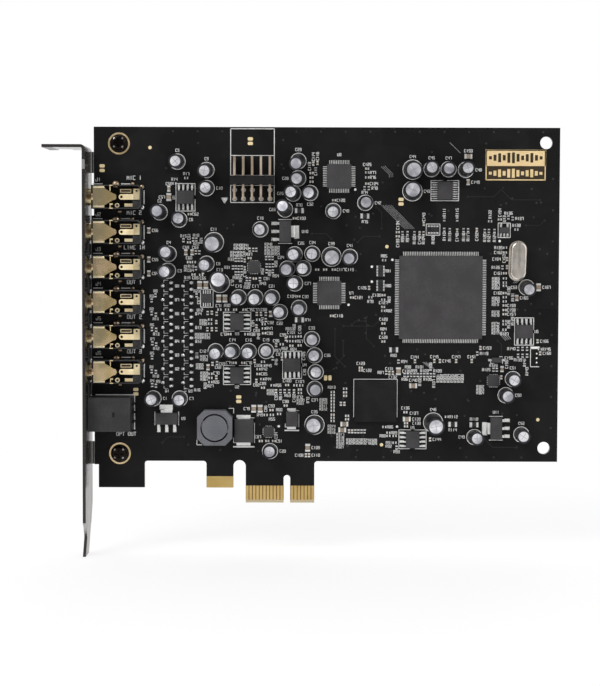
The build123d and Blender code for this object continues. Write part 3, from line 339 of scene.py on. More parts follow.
@dataclass(frozen=True)
class Plating:
    """Bare or plated metal with drawn streaks and handling marks."""

    name: str
    bright: Colour
    dull: Colour
    smooth: float
    rough: float
    scale: float = 700.0
    stretch: Point = (1.0, 1.0, 1.0)
    depth: float = 0.000004
    mark_share: float = 0.4

    def make(self) -> bpy.types.Material:
        """Builds the material.

        Returns:
            The new material.
        """
        material, shader, body = fresh(self.name)
        along = dict(zip(("Along_X", "Along_Y", "Along_Z"), self.stretch))
        streak = Effects.place(shader, Effects.streaks(), Scale=self.scale, **along)
        marks = Effects.place(shader, Effects.grain(), Scale=self.scale * self.mark_share, Detail=2.0)
        tone = shader.ramp(marks, 0.0, 1.0, *MARK_SPAN)
        shader.link(shader.blend(tone, self.bright, self.dull), body.inputs["Base Color"])
        shader.link(shader.ramp(streak, self.smooth, self.rough, *NOISE_SPAN), body.inputs["Roughness"])
        body.inputs["Metallic"].default_value = 1.0
        relief(shader, body, streak, self.depth)
        return material


@dataclass(frozen=True)
class SheetSteel:
    """Bright plated sheet steel with a dark front edge of cut steel that carries a painted highlight band, painted
    dark reflections with painted gleams on the ears and on every face that looks neither forward nor back, and a
    painted pale reflection on the underside that turns dark at the tab's end.
    """

    name: str
    bright: Colour
    dull: Colour
    # Dark colour of the cut front edge, also used as the painted dark reflection on the other faces
    dark_edge_and_shade: Colour
    # Painted pale reflection, for the gleams and the underside
    pale: Colour
    front: float
    # Heights of the painted highlight band on the front edge
    highlight_band: Spot
    gleams: Spot
    tip: float
    gleam_width: Spot = (0.08, 0.2)
    gleam_rise: Spot = (30.0, 80.0)
    gloss: Spot = (0.16, 0.3)
    edge_gloss: float = 0.42
    tint: Colour = (0.62, 0.61, 0.61)
    streak_scale: float = 340.0
    streak_length: float = 0.08
    mark_scale: float = 160.0
    depth: float = 0.000004

    def make(self) -> bpy.types.Material:
        """Builds the material.

        Returns:
            The new material.
        """
        material, shader, body = fresh(self.name)
        streak = Effects.place(shader, Effects.streaks(), Scale=self.streak_scale, Along_Z=self.streak_length)
        marks = Effects.place(shader, Effects.grain(), Scale=self.mark_scale, Detail=3.0)
        parts = shader.split("ShaderNodeTexCoord", "Object")
        level = shader.math("GREATER_THAN", shader.facing(), 0.7)
        forward = shader.math("LESS_THAN", parts.outputs["Y"], self.front * MM)
        edge = shader.math("MULTIPLY", level, forward)
        # Painted highlight: a paler band on the dark front edge between two heights
        middle, half = sum(self.highlight_band) / 2, (self.highlight_band[1] - self.highlight_band[0]) / 2
        painted_highlight = shader.math("LESS_THAN", shader.apart(parts.outputs["Z"], middle * MM), half * MM)
        plate = shader.blend(shader.ramp(marks, 0.0, 1.0, *MARK_SPAN), self.bright, self.dull)
        rim = shader.blend(painted_highlight, self.dark_edge_and_shade, self.dull)
        # Faces that look neither forward nor back take the painted dark reflection with painted gleams
        faces = shader.blend(edge, shader.blend(level, plate, self._painted_reflection(shader, parts)), rim)
        # Painted reflections on the underside: pale along the tab, dark at its end past the tip
        under = shader.math("LESS_THAN", shader.split("ShaderNodeNewGeometry", "Normal").outputs["Z"], -0.9)
        inner = shader.math("GREATER_THAN", parts.outputs["X"], self.tip * MM)
        below = shader.blend(inner, self.dark_edge_and_shade, self.pale)
        shader.link(shader.blend(under, faces, below), body.inputs["Base Color"])
        gloss = shader.ramp(streak, *self.gloss, *NOISE_SPAN)
        dull_edge = shader.math("MULTIPLY", edge, self.edge_gloss)
        shader.link(shader.math("MAXIMUM", gloss, dull_edge), body.inputs["Roughness"])
        body.inputs["Metallic"].default_value = 1.0
        body.inputs["Specular Tint"].default_value = (*self.tint, 1.0)
        relief(shader, body, streak, self.depth)
        return material

    def _painted_reflection(self, shader: Shader, parts: bpy.types.Node) -> bpy.types.NodeSocket:
        """Colour of the ears and of the other faces that look neither forward nor back: a painted dark reflection with
        two upright painted gleams, stronger on the upper ear.

        Args:
            shader: The material's tree.
            parts: Node with the three parts of the place.

        Returns:
            The colour's socket.
        """
        lines = shader.math("MINIMUM", *(shader.apart(parts.outputs["X"], gleam * MM) for gleam in self.gleams))
        rise = shader.ramp(parts.outputs["Z"], 0.3, 1.0, *(end * MM for end in self.gleam_rise))
        near = shader.ramp(lines, 1.0, 0.1, *(end * MM for end in self.gleam_width))
        return shader.blend(shader.math("MULTIPLY", rise, near), self.dark_edge_and_shade, self.pale)


@dataclass(frozen=True)
class FoldedGold:
    """Gold plated sheet, tarnished on its flats, with a painted highlight where its faces turn up or down at the
    rolled and folded edges, and lit and shaded colours with a painted dark reflection band on the necks.
    """

    name: str
    tip: Colour
    root: Colour
    rosy: Colour
    # Painted highlight colour for faces that turn up or down
    pale: Colour
    lit: Colour
    shaded: Colour
    span: Spot
    neck: float
    axis: float
    pitch: float
    scale: float = 230.0
    blotches: Spot = (0.45, 0.65)
    blotch_most: float = 0.8
    # Turn of the normal over which the painted highlight comes in
    roll: Spot = (0.12, 0.35)
    highlight_metal: float = 0.35
    band: Spot = (0.06, 0.1)
    above_band: float = 0.4
    gloss: Spot = (0.12, 0.26)

    def make(self) -> bpy.types.Material:
        """Builds the material.

        Returns:
            The new material.
        """
        material, shader, body = fresh(self.name)
        blotch = Effects.place(shader, Effects.grain(), Scale=self.scale, Detail=2.0)
        parts = shader.split("ShaderNodeTexCoord", "Object")
        along = parts.outputs["X"]
        # Painted highlight: faces that turn up or down, along the rolled and folded edges, take the pale colour and
        # less metal
        turn = shader.apart(shader.split("ShaderNodeNewGeometry", "Normal").outputs["Z"], 0.0)
        turned_highlight = shader.ramp(turn, 0.0, 1.0, *self.roll)
        far = shader.ramp(along, 0.0, 1.0, *(end * MM for end in self.span))
        tone = shader.blend(far, self.root, self.tip)
        tone = shader.blend(shader.ramp(blotch, 0.0, self.blotch_most, *self.blotches), tone, self.rosy)
        tone = shader.blend(turned_highlight, tone, self.pale)
        # Necks: lit and shaded colours with a painted dark reflection band along the middle of each
        neck = shader.blend(self._painted_band(shader, parts.outputs["Z"]), self.lit, self.shaded)
        forward = shader.math("LESS_THAN", along, self.neck * MM)
        shader.link(shader.blend(forward, tone, neck), body.inputs["Base Color"])
        metal = shader.math("MAXIMUM", shader.ramp(turned_highlight, 1.0, self.highlight_metal), forward)
        shader.link(metal, body.inputs["Metallic"])
        shader.link(shader.ramp(blotch, *self.gloss, *MARK_SPAN), body.inputs["Roughness"])
        return material

    def _painted_band(self, shader: Shader, height: bpy.types.NodeSocket) -> bpy.types.NodeSocket:
        """Strength of the painted dark reflection band: one along the middle of every neck, less above it and zero
        below it.

        Args:
            shader: The material's tree.
            height: The height up the card.

        Returns:
            The strength of the dark band.
        """
        steps = shader.math("DIVIDE", shader.math("SUBTRACT", height, self.axis * MM), self.pitch * MM)
        off = shader.math("SUBTRACT", steps, shader.math("ROUND", steps, 0.0))
        band = shader.ramp(shader.apart(off, 0.0), 1.0, 0.0, *self.band)
        return shader.math("MAXIMUM", band, shader.ramp(off, 0.0, self.above_band, *self.band))


@dataclass(frozen=True)
class GlintedScrew:
    """Black oxide with painted highlights: glints between the arms of the recess."""

    name: str
    oxide: Colour
    # Colour of the painted glints
    painted_highlight: Colour
    across: float
    heights: Spot
    reach: float
    # Reach of the painted glints, in millimetres
    glint: Spot = (0.2, 0.5)
    patches: Spot = (0.3, 0.6)
    gloss: Spot = (0.22, 0.4)
    scale: float = 1500.0

    def make(self) -> bpy.types.Material:
        """Builds the material.

        Returns:
            The new material.
        """
        material, shader, body = fresh(self.name)
        parts = shader.split("ShaderNodeTexCoord", "Object")
        rise = shader.math("MINIMUM", *(shader.apart(parts.outputs["Z"], height * MM) for height in self.heights))
        side = shader.apart(parts.outputs["X"], self.across * MM)
        ring = shader.apart(shader.math("ADD", rise, side), self.reach * MM)
        skew = shader.apart(shader.math("SUBTRACT", rise, side), 0.0)
        spot = shader.math("MAXIMUM", ring, skew)
        grain = Effects.place(shader, Effects.grain(), Scale=self.scale)
        # Painted highlights: glints near the diagonals between the arms of the recess, broken up by the grain
        near = shader.ramp(spot, 1.0, 0.0, *(end * MM for end in self.glint))
        glint = shader.math("MULTIPLY", near, shader.ramp(grain, 0.4, 1.0, *self.patches))
        shader.link(shader.blend(glint, self.oxide, self.painted_highlight), body.inputs["Base Color"])
        shader.link(shader.ramp(grain, *self.gloss), body.inputs["Roughness"])
        body.inputs["Metallic"].default_value = 1.0
        return material


@dataclass(frozen=True)
class Moulding:
    """A moulded, printed or fired body with a fine grain."""

    name: str
    colour: Colour
    fleck: Colour
    smooth: float
    rough: float
    scale: float = 5000.0
    depth: float = 0.00002
    specular: float = 0.25
    cloud_share: float = 0.06
    flecks: Spot = (0.12, 0.42)

    def make(self) -> bpy.types.Material:
        """Builds the material.

        Returns:
            The new material.
        """
        material, shader, body = fresh(self.name)
        grain = Effects.place(shader, Effects.grain(), Scale=self.scale)
        cloud = Effects.place(shader, Effects.grain(), Scale=self.scale * self.cloud_share, Detail=2.0)
        tone = shader.ramp(shader.math("MULTIPLY", grain, cloud), 0.0, 1.0, *self.flecks)
        shader.link(shader.blend(tone, self.colour, self.fleck), body.inputs["Base Color"])
        shader.link(shader.ramp(cloud, self.smooth, self.rough, *NOISE_SPAN), body.inputs["Roughness"])
        body.inputs["Specular IOR Level"].default_value = self.specular
        relief(shader, body, grain, self.depth)
        return material


@dataclass(frozen=True)
class MaskedLaminate:
    """Glass laminate under solder mask, with bare fibre at its sawn edges and a pale bevel."""

    name: str
    mask: Colour
    over_copper: Colour
    fibre: Colour
    fibre_dark: Colour
    bevel: Colour
    pour_scale: float = 95.0
    cloud_scale: float = 240.0
    thread_scale: float = 1500.0
    thread_stretch: Spot = (0.15, 3.0)
    bevel_facing: float = 0.5
    flat_facing: float = 0.97
    gloss: Spot = (0.3, 0.42)
    specular: float = 0.08
    weave_scale: float = 260.0
    weave_distortion: float = 1.5
    weave_depth: float = 0.000002

    def make(self) -> bpy.types.Material:
        """Builds the material.

        Returns:
            The new material.
        """
        material, shader, body = fresh(self.name)
        place = shader.add("ShaderNodeTexCoord")
        pours = shader.add("ShaderNodeTexVoronoi", distance="CHEBYCHEV", feature="F1")
        pours.inputs["Scale"].default_value = self.pour_scale
        shader.link(place.outputs["Object"], pours.inputs["Vector"])
        split = shader.add("ShaderNodeSeparateColor")
        shader.link(pours.outputs["Color"], split.inputs["Color"])
        cloud = Effects.place(shader, Effects.grain(), Scale=self.cloud_scale)
        faces = shader.blend(shader.math("MULTIPLY", split.outputs["Red"], cloud), self.mask, self.over_copper)
        flat, through = self.thread_stretch
        threads = Effects.place(
            shader, Effects.streaks(), Scale=self.thread_scale, Along_X=flat, Along_Z=flat, Along_Y=through,
        )
        edges = shader.blend(threads, self.fibre_dark, self.fibre)
        facing = shader.facing()
        cut = shader.blend(shader.math("GREATER_THAN", facing, self.bevel_facing), edges, self.bevel)
        whole = shader.blend(shader.math("GREATER_THAN", facing, self.flat_facing), cut, faces)
        shader.link(whole, body.inputs["Base Color"])
        shader.link(shader.ramp(cloud, *self.gloss, *NOISE_SPAN), body.inputs["Roughness"])
        body.inputs["Specular IOR Level"].default_value = self.specular
        weave = shader.add("ShaderNodeTexWave", wave_type="BANDS", bands_direction="DIAGONAL")
        weave.inputs["Scale"].default_value = self.weave_scale
        weave.inputs["Distortion"].default_value = self.weave_distortion
        shader.link(place.outputs["Object"], weave.inputs["Vector"])
        relief(shader, body, weave.outputs["Fac"], self.weave_depth)
        return material


@dataclass(frozen=True)
class ClearLens:
    """A clear tinted lens."""

    name: str
    tint: Colour
    deep: Colour
    scale: float = 900.0
    gloss: Spot = (0.08, 0.2)
    clearness: float = 0.5

    def make(self) -> bpy.types.Material:
        """Builds the material.

        Returns:
            The new material.
        """
        material, shader, body = fresh(self.name)
        cloud = Effects.place(shader, Effects.grain(), Scale=self.scale)
        shader.link(shader.blend(cloud, self.tint, self.deep), body.inputs["Base Color"])
        shader.link(shader.ramp(cloud, *self.gloss), body.inputs["Roughness"])
        body.inputs["Transmission Weight"].default_value = self.clearness
        return material


class Finish(Enum):
    """Every finish of the card."""

    MASK = MaskedLaminate(
        "black_solder_mask", (0.0095, 0.0094, 0.0094), (0.0150, 0.0148, 0.0148), (0.10, 0.085, 0.05),
        (0.035, 0.03, 0.02), (0.52, 0.43, 0.28),
    )
    TRACE = Moulding("masked_trace", (0.015, 0.015, 0.0155), (0.021, 0.021, 0.022), 0.32, 0.45)
    # Painted sheen: light grey lines standing in for the sheen of raised traces
    LIT_TRACE = Moulding("sheen_line", (0.26, 0.26, 0.265), (0.36, 0.36, 0.365), 0.4, 0.55)
    VIA = Moulding("tented_hole", (0.030, 0.030, 0.031), (0.048, 0.048, 0.05), 0.4, 0.55)
    SLEEVE_GOLD = FoldedGold(
        "folded_gold", (0.98, 0.74, 0.36), (0.80, 0.67, 0.41), (0.88, 0.64, 0.40), (1.0, 0.89, 0.60),
        (1.0, 0.87, 0.52), (0.34, 0.21, 0.11), (-55.0, -49.5), -55.95, 88.41, 10.01,
    )
    SPRING = Plating("spring_gold", (1.0, 0.86, 0.56), (0.86, 0.70, 0.42), 0.26, 0.42, 700.0)
    FINGER = Plating("edge_gold", (0.72, 0.53, 0.22), (0.58, 0.40, 0.14), 0.26, 0.45, 300.0)
    PAD = Moulding("bare_pad", (0.72, 0.58, 0.33), (0.84, 0.70, 0.42), 0.3, 0.45, 2500.0, 0.000004)
    PIN = Plating("pin_plating", (0.72, 0.59, 0.47), (0.62, 0.48, 0.36), 0.3, 0.5, 900.0, (1.0, 1.0, 0.3))
    BARE_GOLD = Plating("dull_gold", (0.82, 0.64, 0.38), (0.66, 0.50, 0.28), 0.3, 0.5, 700.0)
    GROUND = Moulding("finger_ground", (0.33, 0.17, 0.045), (0.42, 0.23, 0.07), 0.4, 0.6, 2500.0, 0.000004)
    AGED_GOLD = Plating("aged_gold", (0.56, 0.43, 0.30), (0.36, 0.26, 0.17), 0.2, 0.4, 900.0)
    FOIL = Moulding("gold_print", (0.66, 0.49, 0.25), (0.76, 0.57, 0.31), 0.4, 0.6, 2500.0, 0.000006)
    # Brown print, also used as painted shade on the spring faces
    BROWN = Moulding("brown_print_and_shade", (0.030, 0.020, 0.010), (0.042, 0.029, 0.016), 0.45, 0.6, 2500.0, 0.000006)
    STEEL = SheetSteel(
        "plated_sheet_steel", (0.51, 0.50, 0.49), (0.41, 0.40, 0.39), (0.06, 0.054, 0.052), (0.94, 0.94, 0.93),
        -8.0, (96.0, 98.7), (-56.65, -55.95), -66.0,
    )
    SCREW = GlintedScrew("black_oxide", (0.016, 0.013, 0.012), (0.34, 0.33, 0.33), -48.65, (104.05, 14.35), 2.4)
    # Painted shade: the optical socket's tin pins are dark because they sit in the socket's shade
    DULL_PIN = Plating("dull_pin", (0.050, 0.048, 0.046), (0.030, 0.029, 0.028), 0.4, 0.6, 1600.0)
    TIN = Plating("tin_plating", (0.97, 0.97, 0.95), (0.82, 0.82, 0.81), 0.28, 0.48, 1600.0)
    SOLDER = Plating("solder", (0.95, 0.95, 0.93), (0.74, 0.74, 0.73), 0.2, 0.4, 1300.0)
    CAN = Plating("drawn_aluminium", (0.97, 0.97, 1.0), (0.42, 0.42, 0.47), 0.34, 0.55, 640.0)
    SCORE = Plating("scored_aluminium", (0.52, 0.52, 0.56), (0.40, 0.40, 0.44), 0.4, 0.6, 1500.0)
    CRYSTAL = Plating(
        "drawn_nickel_silver", (0.97, 0.90, 0.81), (0.74, 0.68, 0.61), 0.2, 0.38, 500.0, (1.0, 1.0, 0.2),
    )
    COPPER = Plating(
        "enamelled_copper", (0.72, 0.36, 0.20), (0.50, 0.22, 0.11), 0.2, 0.35, 1800.0, (0.1, 3.0, 0.1),
    )
    EPOXY = Moulding(
        "moulded_epoxy", (0.046, 0.044, 0.046), (0.064, 0.061, 0.064), 0.5, 0.68, 4200.0, specular=0.16,
    )
    BLACK_EPOXY = Moulding(
        "black_epoxy", (0.009, 0.009, 0.009), (0.015, 0.015, 0.015), 0.45, 0.62, 4200.0, specular=0.12,
    )
    PLASTIC = Moulding("black_moulding", (0.026, 0.026, 0.027), (0.042, 0.042, 0.043), 0.42, 0.6, 3600.0)
    FERRITE = Moulding("grey_ferrite", (0.110, 0.112, 0.126), (0.155, 0.158, 0.172), 0.5, 0.72, 3000.0)
    SLEEVE = Moulding("shrink_sleeve", (0.012, 0.012, 0.014), (0.022, 0.022, 0.026), 0.26, 0.4, 1500.0, specular=0.4)
    # Seal rubber, also used as painted shade in the rivet eyes and between the jacks
    RUBBER = Moulding("seal_rubber", (0.012, 0.012, 0.012), (0.022, 0.022, 0.022), 0.7, 0.85, 3000.0)
    GLAZE = Moulding("resistor_glaze", (0.016, 0.016, 0.017), (0.034, 0.034, 0.036), 0.25, 0.4, 4000.0, specular=0.4)
    CERAMIC = Moulding("fired_ceramic", (0.25, 0.20, 0.15), (0.36, 0.30, 0.235), 0.4, 0.6, 5000.0)
    INK = Moulding("white_print", (0.70, 0.70, 0.69), (0.82, 0.82, 0.80), 0.55, 0.75, 4500.0, 0.000006)
    LENS = ClearLens("red_lens", (0.55, 0.04, 0.03), (0.28, 0.02, 0.015))

    @property
    def material(self) -> bpy.types.Material:
        """The finish's material, made on first use."""
        found = bpy.data.materials.get(self.value.name)
        return found or self.value.make()


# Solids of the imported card


@dataclass
class Island:
    """One closed solid of a node, in millimetres, with the area, middle and normal of each face."""

    points: list[Vector]
    faces: list[tuple[float, Vector, Vector]] = field(default_factory=list)
    low: Vector = field(init=False)
    high: Vector = field(init=False)

    def __post_init__(self) -> None:
        """Finds the corners."""
        self.low = Vector(min(p[axis] for p in self.points) for axis in range(3))
        self.high = Vector(max(p[axis] for p in self.points) for axis in range(3))

    @property
    def middle(self) -> Vector:
        """Middle of the solid's box."""
        return (self.low + self.high) / 2

    def plan(self, grow: float = 0.0) -> Rect:
        """Left, low, right and high edge on the board, grown by a margin."""
        return self.low.x - grow, self.low.z - grow, self.high.x + grow, self.high.z + grow

    def where(self, test: Callable[[Vector], bool]) -> "Island | None":
        """The part of the solid whose points pass a test."""
        found = [point for point in self.points if test(point)]
        return Island(found) if found else None

    def crown(self) -> tuple[Vector, Vector]:
        """Finds the solid's flat top.

        Returns:
            The top's middle and its outward direction.
        """
        top = [face for face in self.faces if face[2].y < -0.9]
        area = sum(face[0] for face in top)
        middle = sum((face[1] * face[0] for face in top), Vector()) / area
        return middle, sum((face[2] * face[0] for face in top), Vector()).normalized()


# Steps in a millimetre, within which points of a mesh count as one
WELD_STEPS = 2000


@lru_cache(maxsize=None)
def islands(node: str) -> tuple[Island, ...]:
    """Splits a node into its separate solids.

    Args:
        node: The node's name.

    Returns:
        Its solids, from left to right.
    """
    mesh = frame["nodes"][node].data
    keys: dict[tuple[int, int, int], int] = {}
    spots: list[Vector] = []
    index: list[int] = []
    for vertex in mesh.vertices:
        point = vertex.co / MM
        key = tuple(round(part * WELD_STEPS) for part in point)
        if key not in keys:
            keys[key] = len(spots)
            spots.append(point)
        index.append(keys[key])
    parent = list(range(len(spots)))

    def root(item: int) -> int:
        """Follows an item to its group's first member.

        Args:
            item: The item's number.

        Returns:
            The first member's number.
        """
        while parent[item] != item:
            parent[item] = parent[parent[item]]
            item = parent[item]
        return item

    for polygon in mesh.polygons:
        first = root(index[polygon.vertices[0]])
        for other in polygon.vertices[1:]:
            parent[root(index[other])] = first
    points: dict[int, list[Vector]] = {}
    faces: dict[int, list[tuple[float, Vector, Vector]]] = {}
    for number, point in enumerate(spots):
        points.setdefault(root(number), []).append(point)
    for polygon in mesh.polygons:
        facts = (polygon.area / MM**2, polygon.center / MM, polygon.normal.copy())
        faces.setdefault(root(index[polygon.vertices[0]]), []).append(facts)
    found = [Island(points[key], faces[key]) for key in points]
    return tuple(sorted(found, key=lambda island: (round(island.middle.x, 2), round(island.middle.z, 2))))


def jack_axes() -> list[float]:
    """Heights of the jacks' axes, from the top."""
    return [mount["pos_m"][2] / MM for mount in frame["record"]["mounts"] if mount["kind"] == "bore"]


# Thin raised work on the faces of the board

# Strokes of each letter over a grid of three by three, numbered from the lower left
STROKES: dict[str, tuple[str, ...]] = {
    "0": ("02860",), "1": ("17",), "2": ("685302",), "3": ("6820", "35"), "4": ("635", "82"), "5": ("863520",),
    "6": ("860253",), "7": ("682",), "8": ("02860", "35"), "9": ("536820",), "C": ("8602",), "R": ("06853", "42"),
    "L": ("602",), "Q": ("02860", "42"), "U": ("6028",), "J": ("8203",), "T": ("68", "71"), "P": ("06853",),
    "M": ("06482",), "I": ("17",), "N": ("0628",), "E": ("8602", "34"), "O": ("02860",),
}


class Heap:
    """Collects many small shapes on sheets of limited size, so that each operator stays quick."""

    LIMIT = 700

    def __init__(self) -> None:
        """Starts with one empty sheet."""
        self.sheets = [bmesh.new()]

    @property
    def sheet(self) -> bmesh.types.BMesh:
        """The sheet that takes the next shape."""
        if len(self.sheets[-1].verts) > self.LIMIT:
            self.sheets.append(bmesh.new())
        return self.sheets[-1]

    def take(self, small: bmesh.types.BMesh) -> None:
        """Adds a finished shape and frees it."""
        self._pour(small, self.sheet)

    def join(self) -> bmesh.types.BMesh:
        """Puts all sheets together.

        Returns:
            The whole mesh.
        """
        whole = bmesh.new()
        for sheet in self.sheets:
            self._pour(sheet, whole)
        return whole

    @staticmethod
    def _pour(source: bmesh.types.BMesh, target: bmesh.types.BMesh) -> None:
        """Copies one mesh into another and frees the first.

        Args:
            source: The mesh that is copied and freed.
            target: The mesh that takes it.
        """
        carrier = bpy.data.meshes.new("carrier")
        source.to_mesh(carrier)
        source.free()
        target.from_mesh(carrier)
        bpy.data.meshes.remove(carrier)


def spun(outline: Iterable[Spot], steps: int) -> bmesh.types.BMesh:
    """Spins an outline about the Y axis into a closed shape.

    Args:
        outline: Radius and height of each point, from the axis back to the axis.
        steps: Number of steps round.

    Returns:
        The new mesh, in millimetres.
    """
    small = bmesh.new()
    chain = [small.verts.new((radius, height, 0.0)) for radius, height in outline]
    edges = [small.edges.new(pair) for pair in zip(chain, chain[1:])]
    bmesh.ops.spin(
        small, geom=chain + edges, cent=(0, 0, 0), axis=(0, 1, 0), angle=math.tau, steps=steps,
        use_merge=True, use_duplicate=False,
    )
    bmesh.ops.remove_doubles(small, verts=small.verts, dist=1e-5)
    bmesh.ops.recalc_face_normals(small, faces=small.faces)
    return small


@dataclass
class Layer:
    """Thin work of one finish on one face of the board, between two lifts over it in millimetres.

    Sizes of lettering are shares of its height, and the cap is how far a line's ends reach past its points together,
    as a share of its width.
    """

    CAP = 0.6
    LETTER_WIDTH = 0.54
    LETTER_STEP = 0.84
    LETTER_STROKE = 0.19

    name: str
    finish: Finish
    slot: str
    side: Side
    low: float
    high: float
    heap: Heap = field(default_factory=Heap)

    @property
    def depth(self) -> float:
        """Thickness of the layer."""
        return self.high - self.low

    def _seat(self, x: float, z: float, turn: float = 0.0) -> Matrix:
        """Finds the place of a shape's middle in metres, with Y across the layer.

        Args:
            x: Middle along X.
            z: Middle along Z.
            turn: Angle about Y.

        Returns:
            The place.
        """
        lift = HALF_BOARD + (self.low + self.high) / 2
        spot = Matrix.Translation((x * MM, self.side.value * lift * MM, z * MM))
        return spot @ Matrix.Rotation(-turn, 4, "Y")

    def patch(self, x: float, z: float, width: float, height: float, turn: float = 0.0) -> None:
        """A rectangle around a point, turned by an angle."""
        size = Matrix.Diagonal((width * MM, self.depth * MM, height * MM, 1.0))
        bmesh.ops.create_cube(self.heap.sheet, size=1.0, matrix=self._seat(x, z, turn) @ size)

    def rect(self, area: Rect) -> None:
        """A rectangle given by its edges."""
        left, low, right, high = area
        self.patch((left + right) / 2, (low + high) / 2, right - left, high - low)

    def lozenge(self, x: float, z: float, width: float, height: float, corner: float) -> None:
        """A rectangle with rounded corners around a point.

        Args:
            x: Middle along X.
            z: Middle along Z.
            width: Size along X.
            height: Size along Z.
            corner: Radius of the corners.
        """
        small = bmesh.new()
        size = Matrix.Diagonal((width * MM, self.depth * MM, height * MM, 1.0))
        bmesh.ops.create_cube(small, size=1.0, matrix=self._seat(x, z) @ size)
        upright = [e for e in small.edges if abs(e.verts[0].co.y - e.verts[1].co.y) > self.depth * MM / 2]
        bmesh.ops.bevel(
            small, geom=upright, offset=corner * MM, segments=3, profile=0.5, affect="EDGES", material=-1,
        )
        self.heap.take(small)

    def bar(self, x0: float, z0: float, x1: float, z1: float, width: float) -> None:
        """A straight line between two points."""
        length = math.hypot(x1 - x0, z1 - z0) + width * self.CAP
        self.patch((x0 + x1) / 2, (z0 + z1) / 2, length, width, math.atan2(z1 - z0, x1 - x0))

    def path(self, points: Iterable[Spot], width: float) -> None:
        """A line through several points.

        Args:
            points: The points in order.
            width: The line's width.
        """
        spots = list(points)
        for (x0, z0), (x1, z1) in zip(spots, spots[1:]):
            self.bar(x0, z0, x1, z1, width)

    def frame(self, area: Rect, width: float) -> None:
        """The outline of a rectangle."""
        left, low, right, high = area
        self.path(((left, low), (right, low), (right, high), (left, high), (left, low)), width)

    def disc(self, x: float, z: float, radius: float, segments: int = 14) -> None:
        """A round dot."""
        turned = self._seat(x, z) @ Matrix.Rotation(math.pi / 2, 4, "X")
        bmesh.ops.create_cone(
            self.heap.sheet, cap_ends=True, segments=segments, radius1=radius * MM, radius2=radius * MM,
            depth=self.depth * MM, matrix=turned,
        )

    def ring(self, x: float, z: float, inner: float, outer: float, steps: int = 28) -> None:
        """A flat ring.

        Args:
            x: Middle along X.
            z: Middle along Z.
            inner: Inner radius.
            outer: Outer radius.
            steps: Number of steps round.
        """
        half = self.depth / 2
        small = bmesh.new()
        corners = ((inner, -half), (outer, -half), (outer, half), (inner, half))
        loop = [small.verts.new((radius, height, 0.0)) for radius, height in corners]
        edges = [small.edges.new((loop[i], loop[(i + 1) % 4])) for i in range(4)]
        bmesh.ops.spin(
            small, geom=loop + edges, cent=(0, 0, 0), axis=(0, 1, 0), angle=math.tau, steps=steps,
            use_merge=True, use_duplicate=False,
        )
        bmesh.ops.recalc_face_normals(small, faces=small.faces)
        bmesh.ops.transform(small, matrix=self._seat(x, z) @ Matrix.Scale(MM, 4), verts=small.verts)
        self.heap.take(small)

    def text(self, words: str, x: float, z: float, height: float, upright: bool = False) -> None:
        """Stroke lettering around a point.

        Args:
            words: Letters and figures to draw.
            x: Middle along X.
            z: Middle along Z.
            height: Height of a letter.
            upright: True to read upwards.
        """
        wide, step, stroke = self.LETTER_WIDTH * height, self.LETTER_STEP * height, self.LETTER_STROKE * height
        length = step * len(words) - (step - wide)
        cosine, sine = (0.0, 1.0) if upright else (1.0, 0.0)
        for number, letter in enumerate(words):
            for line in STROKES.get(letter, ()):
                spots = []
                for mark in line:
                    row, column = divmod(int(mark), 3)
                    along = number * step + column * wide / 2 - length / 2
                    up = row * height / 2 - height / 2
                    spots.append((x + along * cosine - up * sine, z + along * sine + up * cosine))
                self.path(spots, stroke)

    def done(self) -> bpy.types.Object:
        """Turns the layer into a piece that rides on the card."""
        return make_piece(self.name, self.heap.join(), self.finish)


def make_piece(
    name: str, mesh: bmesh.types.BMesh, finish: Finish, smooth: bool = False
) -> bpy.types.Object:
    """Makes an object of a finished mesh.

    Args:
        name: The piece's name.
        mesh: Its mesh, which is freed.
        finish: Its finish.
        smooth: True for smooth shading.

    Returns:
        The new object.
    """
    data = bpy.data.meshes.new(name)
    mesh.to_mesh(data)
    mesh.free()
    data.materials.append(finish.material)
    data.polygons.foreach_set("use_smooth", [smooth] * len(data.polygons))
    piece = bpy.data.objects.new(name, data)
    bpy.context.scene.collection.objects.link(piece)
    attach(piece, "root")
    LOG.info("%s: %d faces", name, len(data.polygons))
    return piece


class Crowd:
    """Rectangles that are already in use on the board, in coarse cells for a quick search."""

    CELL = 5.0

    def __init__(self) -> None:
        """Starts empty."""
        self.cells: dict[tuple[int, int], list[Rect]] = {}

    def _keys(self, area: Rect) -> Iterable[tuple[int, int]]:
        """The cells that a rectangle touches."""
        left, low, right, high = (int(math.floor(edge / self.CELL)) for edge in area)
        return ((i, j) for i in range(left, right + 1) for j in range(low, high + 1))

    def add(self, area: Rect) -> None:
        """Marks a rectangle as used."""
        for key in self._keys(area):
            self.cells.setdefault(key, []).append(area)

    def free(self, area: Rect) -> bool:
        """Tells whether a rectangle is still free.

        Args:
            area: The rectangle's edges.

        Returns:
            True where nothing overlaps it.
        """
        left, low, right, high = area
        for key in self._keys(area):
            for a, b, c, d in self.cells.get(key, ()):
                if left < c and a < right and low < d and b < high:
                    return False
        return True


def around(x: float, z: float, wide: float, tall: float) -> Rect:
    """The rectangle that reaches a width and a height to each side of a point."""
    return x - wide, z - tall, x + wide, z + tall


# Sub-assemblies


